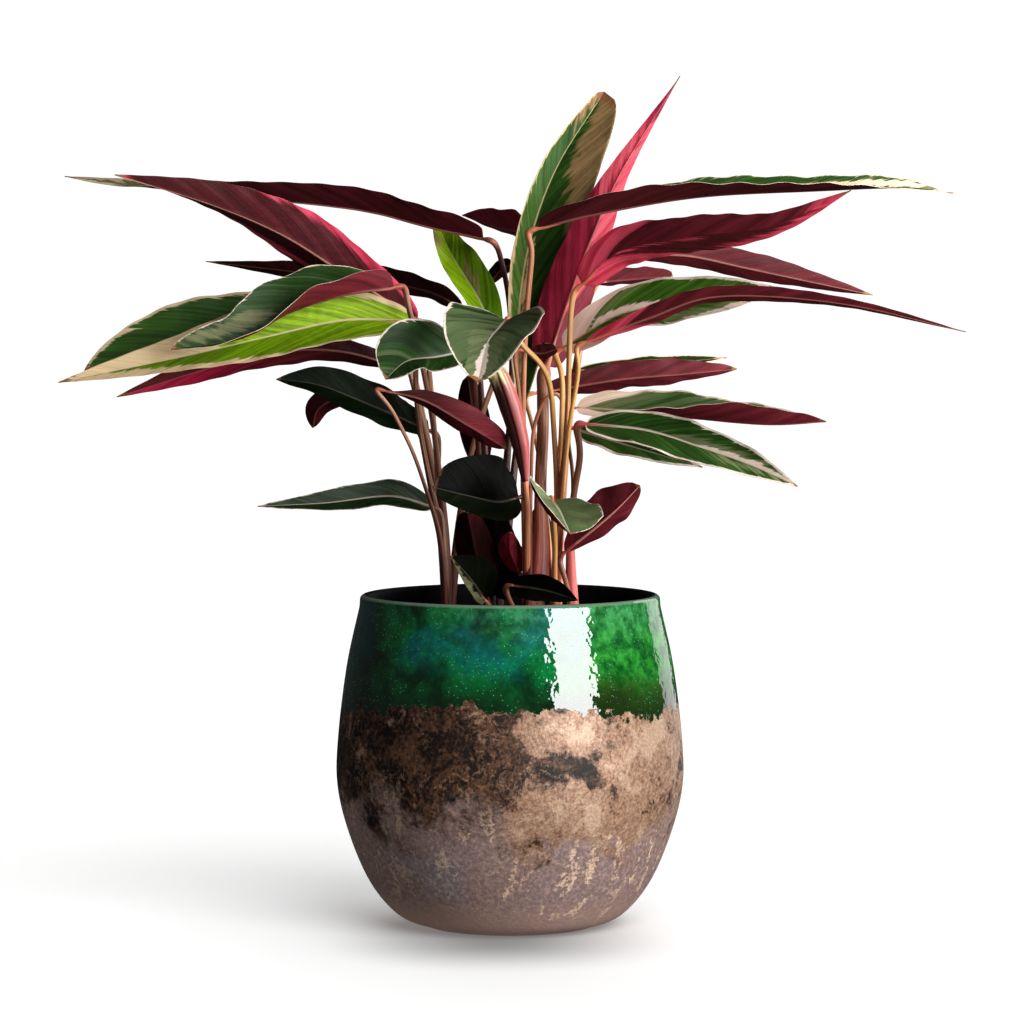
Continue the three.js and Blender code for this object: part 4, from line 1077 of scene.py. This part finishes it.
def turned(profile, segments):
    """Vertices and faces of a closed outline that starts and ends on the axis, turned round it."""
    profile = np.array(profile, float)
    angles = np.arange(segments) * 2 * np.pi / segments
    inner = profile[1:-1]
    rings = np.stack([np.outer(inner[:, 0], np.cos(angles)), np.outer(inner[:, 0], np.sin(angles)),
                      np.repeat(inner[:, 1:], segments, axis=1)], -1)
    vertices = np.vstack([[[0, 0, profile[0, 1]]], rings.reshape(-1, 3), [[0, 0, profile[-1, 1]]]])
    last = len(vertices) - 1
    index = 1 + np.arange(len(inner) * segments).reshape(len(inner), segments)
    after = np.roll(index, -1, axis=1)
    sides = np.stack([index[:-1], after[:-1], after[1:], index[1:]], -1).reshape(-1, 4).tolist()
    caps = [[0, int(b), int(a)] for a, b in zip(index[0], after[0])]
    caps += [[last, int(a), int(b)] for a, b in zip(index[-1], after[-1])]
    return vertices, sides + caps


def wall_points(inset, start, steps):
    outline = smooth_line(POT_OUTLINE, np.linspace(start, 1, steps + 1))
    outline[:, 0] -= inset
    return outline.tolist()


def pot_piece(material):
    lip = [(LIP_CENTRE + LIP_RADIUS * math.cos(a), LIP_HEIGHT - LIP_RADIUS + LIP_RADIUS * math.sin(a))
           for a in np.linspace(0, np.pi, LIP_STEPS + 1)[1:-1]]
    inner = wall_points(WALL, INNER_FOOT, INNER_STEPS)[::-1]
    corner = (inner[-1][0] - INNER_CORNER, FLOOR)
    profile = [(0, 0), (BOTTOM_RADIUS, 0), *wall_points(0, 0, OUTER_STEPS), *lip, *inner, corner, (0, FLOOR)]
    return new_piece("pot_body", *turned(profile, POT_SEGMENTS), [material])


def stretched(tree, place, upright):
    """A place for a noise whose features are drawn out up and down."""
    return add(tree, "ShaderNodeMapping", {"Vector": place, "Scale": (1.0, 1.0, upright)}).outputs[0]


def ridges(tree, value, width):
    """1 along the lines where a noise crosses its middle value."""
    return fade(tree, maths(tree, "ABSOLUTE", minus(tree, value, 0.5)), width, 0.0)


def green_glaze(tree, place, x, above):
    """Clear green glaze: teal clouds, sunlit green to the right, painted shade on the left side, darker
    where it pools, pale flecks.
    """
    cloud = noise(tree, place, 40.0, 6.0, 0.6, 0.3)
    spots = noise(tree, place, 110.0, 6.0, 0.65)
    moved = add(tree, "ShaderNodeMapping", {"Vector": place, "Location": (0.35, 0.0, 0.12)}).outputs[0]
    teal_cloud = noise(tree, moved, 22.0, 5.0, 0.55)
    fine = noise(tree, place, 380.0, 4.0, 0.7)
    side = plus(tree, x, fade(tree, cloud, 0.2, 0.8, -0.012, 0.012))

    deep = blend(tree, fade(tree, cloud, 0.38, 0.62), shade(0, 54, 22), shade(4, 128, 58))
    teal_mask = times(tree, fade(tree, teal_cloud, 0.46, 0.64), fade(tree, above, 0.01, 0.04))
    teal = blend(tree, teal_mask, deep, shade(6, 118, 110))
    sunny = blend(tree, fade(tree, spots, 0.35, 0.65), shade(6, 100, 28), shade(48, 152, 50))
    olive = blend(tree, fade(tree, above, 0.024, 0.004), sunny, shade(56, 88, 18))
    green = blend(tree, fade(tree, side, 0.03, 0.052), teal, olive)
    tone = times(tree, fade(tree, spots, 0.3, 0.7, 0.68, 1.3), fade(tree, fine, 0.3, 0.7, 0.8, 1.22))
    mottled = brightened(tree, green, tone)
    pooled = blend(tree, fade(tree, above, 0.024, 0.0, 0.0, 0.8), mottled, shade(12, 34, 12))
    # painted shade: the glaze darkens towards the left side, away from the lamps
    shaded = blend(tree, fade(tree, side, -0.04, -0.085, 0.0, 0.75), pooled, shade(16, 26, 18))

    milky = times(tree, fade(tree, spots, 0.45, 0.65, 0.05, 0.3), fade(tree, above, 0.03, 0.062))
    haze = times(tree, milky, fade(tree, side, -0.06, 0.0))
    misty = blend(tree, haze, shaded, shade(120, 196, 170))
    cells = add(tree, "ShaderNodeTexVoronoi", {"Vector": place, "Scale": 480.0}).outputs["Distance"]
    flecks = times(tree, fade(tree, cells, 0.2, 0.1), fade(tree, cloud, 0.44, 0.58))
    return blend(tree, times(tree, flecks, 0.75), misty, shade(140, 222, 190))


def copper_crust(tree, place, warped, grit, threads, x):
    """Copper over rust broken up by dark pits, laced with gold threads, and how much copper there is. Rust
    spreads towards the left side as painted shade.
    """
    crust = noise(tree, place, 46.0, 12.0, 0.76, 0.5)
    bright_patch = larger(tree, patches(tree, warped, *COPPER), patches(tree, warped, *GOLD))
    favour = minus(tree, bright_patch, patches(tree, warped, *DARK))
    patchy = plus(tree, crust, times(tree, favour, 0.12))
    # painted shade: less copper and more dark rust towards the left side
    level = plus(tree, patchy, fade(tree, x, -0.09, 0.07, -0.09, 0.04))
    copper = blend(tree, fade(tree, grit, 0.35, 0.65), shade(160, 116, 90), shade(210, 170, 142))
    pits = plus(tree, grit, times(tree, noise(tree, warped, 62.0, 8.0, 0.7), 1.4))
    rust = blend(tree, fade(tree, pits, 1.08, 1.46), shade(32, 18, 11), shade(118, 80, 56))
    mixed = blend(tree, fade(tree, level, 0.45, 0.55), rust, copper)
    lace = times(tree, threads, fade(tree, grit, 0.42, 0.54, 0.0, 0.7))
    laced = blend(tree, lace, mixed, shade(214, 164, 126))
    return blend(tree, fade(tree, level, 0.6, 0.7, 0.0, 0.8), laced, shade(234, 196, 166)), level


def clay_foot(tree, place, warped, grit, z):
    """Mauve-grey clay, cooler in places and paler where the pot stands."""
    wide = noise(tree, place, 15.0, 3.0, 0.5)
    cool = larger(tree, patch(tree, warped, *COOL_CLAY), fade(tree, wide, 0.5, 0.62, 0.0, 0.15))
    plain = blend(tree, cool, shade(166, 136, 128), shade(158, 144, 150))
    clay = brightened(tree, plain, fade(tree, grit, 0.38, 0.62, 0.74, 1.24))
    return blend(tree, fade(tree, z, 0.03, 0.004), clay, shade(204, 166, 152))


def run_mask(tree, place, warped, grit, below, x):
    """1 on the beaded runs that the glaze has left down the clay, shorter to the left, and on its specks."""
    columns = noise(tree, stretched(tree, part_way(tree, 0.3, place, warped), 0.09), 125.0, 2.0, 0.5)
    beads = fade(tree, grit, 0.3, 0.7, -0.1, 0.1)
    beaded = fade(tree, plus(tree, columns, beads), 0.553, 0.596)
    depth = fade(tree, noise(tree, stretched(tree, place, 0.05), 34.0, 2.0, 0.5), 0.32, 0.6, 0.0, 0.06)
    hanging = fade(tree, minus(tree, depth, below), 0.0, 0.02)
    reach = times(tree, hanging, fade(tree, x, -0.06, 0.0, 0.45, 1.0))
    return larger(tree, times(tree, beaded, reach), fade(tree, grit, 0.6, 0.66, 0.0, 0.5))


def bare_bronze(tree, place, x, z):
    """Copper crust above mauve-grey clay, into which gold runs and threads hang down. Also how much
    copper there is, and 1 on the clay."""
    drift = add(tree, "ShaderNodeTexNoise", {"Vector": place, "Scale": 30.0, "Detail": 6.0}).outputs["Color"]
    moved = add(tree, "ShaderNodeVectorMath", {0: drift, 1: (0.07, 0.07, 0.07), 2: (-0.035, -0.035, -0.035)},
                operation="MULTIPLY_ADD").outputs[0]
    warped = add(tree, "ShaderNodeVectorMath", {0: place, 1: moved}, operation="ADD").outputs[0]
    grit = noise(tree, place, 420.0, 5.0, 0.7)
    threads = times(tree, ridges(tree, noise(tree, warped, 70.0, 7.0, 0.7), 0.022),
                    fade(tree, noise(tree, place, 34.0, 3.0, 0.5), 0.47, 0.56, 0.15, 1.0))
    crust, level = copper_crust(tree, place, warped, grit, threads, x)

    middle = fade(tree, noise(tree, place, 26.0, 8.0, 0.68, 0.3), 0.3, 0.7, 0.082, 0.038)
    line = plus(tree, middle, fade(tree, x, 0.0, -0.05, 0.0, 0.014))
    below = minus(tree, line, z)
    lower = fade(tree, below, -0.012, 0.012)
    runs = run_mask(tree, place, warped, grit, below, x)
    veins = times(tree, threads, fade(tree, grit, 0.46, 0.56, 0.0, 0.45))
    sparkle = fade(tree, noise(tree, place, 620.0, 3.0, 0.7), 0.35, 0.65, 0.55, 1.12)
    gold = brightened(tree, shade(252, 214, 186), sparkle)
    gilded = blend(tree, larger(tree, runs, veins), clay_foot(tree, place, warped, grit, z), gold)
    glinting = brightened(tree, crust, fade(tree, sparkle, 0.55, 1.12, 0.8, 1.14))
    return blend(tree, lower, glinting, gilded), level, lower


def glaze_material():
    """Green gloss glaze over a ragged edge into mottled, dripping bronze, dull inside and dark there as
    painted shade, with a painted reflection along the top of the lip.
    """
    material, tree = new_material("pot_glaze")
    place = object_place(tree)
    parts = add(tree, "ShaderNodeSeparateXYZ", {0: place})
    x, y, z = (parts.outputs[axis] for axis in range(3))
    ragged = noise(tree, place, 110.0, 4.0, 0.6)
    wide = noise(tree, place, 14.0, 3.0, 0.5)
    edge = plus(tree, fade(tree, wide, 0.3, 0.7, 0.129, 0.142), fade(tree, ragged, 0.3, 0.7, -0.004, 0.004))
    above = minus(tree, z, edge)
    band = fade(tree, above, -0.0004, 0.0006)

    metal_colour, level, lower = bare_bronze(tree, place, x, z)
    outside = blend(tree, band, metal_colour, green_glaze(tree, place, x, above))
    # painted reflection: a pale band along the top of the lip
    rim_colour = blend(tree, fade(tree, z, 0.1978, 0.1992), outside, shade(128, 160, 132))
    radius = add(tree, "ShaderNodeVectorMath", {0: vector(tree, x, y)}, operation="LENGTH")
    inside = fade(tree, radius.outputs["Value"], 0.0884, 0.0874)
    mouth = times(tree, inside, fade(tree, z, 0.1, 0.101))
    # painted shade: the inside of the pot's mouth is near black
    colour = blend(tree, mouth, rim_colour, shade(13, 12, 13))

    rough_metal = plus(tree, fade(tree, level, 0.4, 0.62, 0.56, 0.4), fade(tree, lower, 0.0, 1.0, 0.0, 0.2))
    rough = fade(tree, mouth, 0.0, 1.0, fade(tree, band, 0.0, 1.0, rough_metal, 0.035), 0.7)
    shine = times(tree, fade(tree, level, 0.44, 0.6, 0.05, 0.2), fade(tree, lower, 1.0, 0.0, 0.2, 1.0))
    gloss = fade(tree, mouth, 0.0, 1.0, fade(tree, band, 0.0, 1.0, 0.2, 0.5), 0.05)
    metal = times(tree, minus(tree, 1.0, band), shine)
    swell = noise(tree, place, 120.0, 2.0, 0.5)
    crust = noise(tree, place, 300.0, 5.0, 0.7)
    bumps = fade(tree, band, 0.0, 1.0, crust, times(tree, swell, 1.1))
    finish_surface(tree, {"Base Color": colour, "Roughness": rough, "Metallic": metal,
                          "Specular IOR Level": gloss, "IOR": 1.95,
                          "Normal": relief(tree, bumps, 0.0012, 0.45)})
    return material


# ---------------------------------------------------------------- soil

SOIL_GAP = 0.4  # between the soil and the pot
SOIL_RINGS = 44
SOIL_SEGMENTS = 180
SOIL_WALL_STEPS = 60
CRUMB_HEIGHT = 0.55


def soil_material():
    material, tree = new_material("potting_soil")
    place = object_place(tree)
    crumbs = noise(tree, place, 260.0, 5.0, 0.65)
    bark = noise(tree, place, 90.0, 3.0, 0.5)
    dark = blend(tree, fade(tree, crumbs, 0.35, 0.65), shade(16, 12, 10), shade(52, 38, 28))
    colour = blend(tree, fade(tree, bark, 0.6, 0.7), dark, shade(78, 56, 38))
    finish_surface(tree, {"Base Color": colour, "Roughness": 0.95,
                          "Normal": relief(tree, crumbs, 0.002, 1.0)})
    return material


def soil_piece(material):
    """The soil's crumbly top, and a plain body below it that follows the pot's inner wall."""
    wall = [p for p in wall_points(WALL + SOIL_GAP, INNER_FOOT, SOIL_WALL_STEPS) if p[1] < SOIL_RIM]
    top = [(wall[-1][0] * (1 - k / SOIL_RINGS), SOIL_RIM + (SOIL_CROWN - SOIL_RIM) * k / SOIL_RINGS)
           for k in range(SOIL_RINGS)]
    bottom = FLOOR + SOIL_GAP
    profile = [(0, bottom), (wall[0][0] - INNER_CORNER, bottom), *wall, *top, (0, SOIL_CROWN)]
    vertices, faces = turned(profile, SOIL_SEGMENTS)
    first_top = 1 + (1 + len(wall)) * SOIL_SEGMENTS
    lumps = np.random.default_rng(SEED).normal(0, CRUMB_HEIGHT, len(vertices))
    vertices[first_top:, 2] += lumps[first_top:]
    return new_piece("soil_bed", vertices, faces, [material])


# ---------------------------------------------------------------- stage

WHITE = (1, 1, 1, 1)
FLOOR_HALF_SIZE = 9000
FLOOR_GREY = (0.8, 0.8, 0.8, 1)
CONTACT_SHADOW = ((-6, -80, 0), 114)
AIM_HEIGHT = 250
CAMERA_PLACE = (1.2, -2500, 392)
CAMERA_PITCH = 3.26
LENS = 145.76
SENSOR = 36


def floor_piece():
    """A wide pale floor with a painted contact shadow where the pot stands."""
    material, tree = new_material("pale_floor")
    contact = times(tree, patch(tree, object_place(tree), *CONTACT_SHADOW), 0.78)
    plain = add(tree, "ShaderNodeBsdfDiffuse", {"Color": blend(tree, contact, FLOOR_GREY, (0, 0, 0, 1))})
    glow = add(tree, "ShaderNodeEmission", {"Color": WHITE, "Strength": 0.15})
    finish(tree, add(tree, "ShaderNodeAddShader", {0: plain.outputs[0], 1: glow.outputs[0]}).outputs[0])
    size = FLOOR_HALF_SIZE
    corners = [(-size, -size, 0), (size, -size, 0), (size, size, 0), (-size, size, 0)]
    floor = new_piece("floor", corners, [(0, 1, 2, 3)], [material], smooth=False)
    floor.visible_diffuse = False
    floor.visible_glossy = False
    return floor


def studio_world():
    """White to the camera, a dim warm fill to the pieces and a dimmer cool one in what they reflect."""
    world = bpy.data.worlds.new("studio")
    bpy.context.scene.world = world
    world.use_nodes = True
    tree = world.node_tree
    tree.nodes.clear()
    rays = add(tree, "ShaderNodeLightPath")
    seen = add(tree, "ShaderNodeBackground", {"Color": WHITE, "Strength": 1.05})
    fill = add(tree, "ShaderNodeBackground", {"Color": (1, 0.98, 0.95, 1), "Strength": 0.16})
    dim = add(tree, "ShaderNodeBackground", {"Color": (0.9, 0.95, 1, 1), "Strength": 0.035})
    lit = add(tree, "ShaderNodeMixShader",
              {0: rays.outputs["Is Glossy Ray"], 1: fill.outputs[0], 2: dim.outputs[0]})
    mixed = add(tree, "ShaderNodeMixShader",
                {0: rays.outputs["Is Camera Ray"], 1: lit.outputs[0], 2: seen.outputs[0]})
    add(tree, "ShaderNodeOutputWorld", {"Surface": mixed.outputs[0]})


def hang(light, direction, only):
    """A lamp that shines this way, on the pieces of one collection alone."""
    lamp = put_in_scene(light.name, light)
    lamp.rotation_euler = direction.to_track_quat("-Z", "Y").to_euler()
    lamp.light_linking.receiver_collection = only
    return lamp


def softbox(name, turn, distance, height, size, watts, only):
    """An area light at turn degrees round from the viewer to the right, aimed at the pot's axis."""
    light = bpy.data.lights.new(name, "AREA")
    light.shape = "RECTANGLE"
    light.size, light.size_y = size[0] * MM, size[1] * MM
    light.energy = watts
    angle = math.radians(turn)
    place = Vector((math.sin(angle) * distance, -math.cos(angle) * distance, height)) * MM
    hang(light, Vector((0, 0, AIM_HEIGHT * MM)) - place, only).location = place


def floor_light(name, direction, spread, power, only):
    """A soft sun that lights only the floor, which stays white around the pot's shadow."""
    light = bpy.data.lights.new(name, "SUN")
    light.energy = power
    light.angle = math.radians(spread)
    hang(light, Vector(direction), only)


def camera():
    data = bpy.data.cameras.new("camera")
    data.lens = LENS
    data.sensor_width = SENSOR
    data.clip_end = 100
    made = put_in_scene("camera", data)
    made.location = Vector(CAMERA_PLACE) * MM
    made.rotation_euler = (math.radians(90 - CAMERA_PITCH), 0, 0)
    bpy.context.scene.camera = made


# ---------------------------------------------------------------- putting it together


def dress(piece, node):
    """Lights a piece with the rest of the plant and puts it in the place of its solid."""
    plant_only.objects.link(piece)
    if node != "pot":
        foliage_only.objects.link(piece)
    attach(piece, "root")
    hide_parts(node)


camera()
floor_only = bpy.data.collections.new("floor_only")
floor_only.objects.link(floor_piece())
studio_world()
floor_light("floor_from_above", (-0.37, 0.21, -0.91), 90, 1.6, floor_only)
floor_light("floor_from_front", (-0.41, 0.71, -0.57), 50, 2.23, floor_only)
floor_light("floor_from_behind", (0, -0.82, -0.57), 50, 1.06, floor_only)
plant_only = bpy.data.collections.new("plant_only")
softbox("key", 45, 1600, 640, (850, 1350), 30, plant_only)
softbox("rim", 140, 1500, 500, (760, 1300), 4, plant_only)
foliage_only = bpy.data.collections.new("foliage_only")
softbox("side", 78, 1500, 560, (700, 1100), 38, foliage_only)
bpy.context.scene.view_settings.view_transform = "Standard"

# Lit and shaded copies of the leaf materials: the shaded ones have less gloss, as painted shade for blades
# in shadow.
open_faces = [upper_material("leaf_upper_face", 0.19), under_material("leaf_under_face", 0.13)]
shaded_faces = [upper_material("shaded_upper_face", 0.06), under_material("shaded_under_face", 0.06)]
leaves = [{**USUAL, **row} for row in LEAVES]
for number, leaf in enumerate(leaves):
    node = "leaf_" + leaf["name"]
    faces = shaded_faces if leaf["light"] < SHADE else open_faces
    dress(blade_piece(leaf, number, faces), node)
dress(rolled_piece(rolled_material()), "leaf_rolled")

stalk_nodes = stalk_tree()
for shoot, look in STALK_LOOKS.items():
    stalks = [leaf_stalk(leaf) for leaf in leaves if leaf["shoot"] == shoot]
    if shoot == ROLLED_SHOOT:
        stalks.append(rolled_leaf_stalk())
    node = "shoot_" + shoot
    material = stalk_material("stalk_" + shoot, *look)
    dress(shoot_piece("stalks_" + shoot, stalks, stalk_nodes, material), node)

dress(pot_piece(glaze_material()), "pot")
dress(soil_piece(soil_material()), "soil")
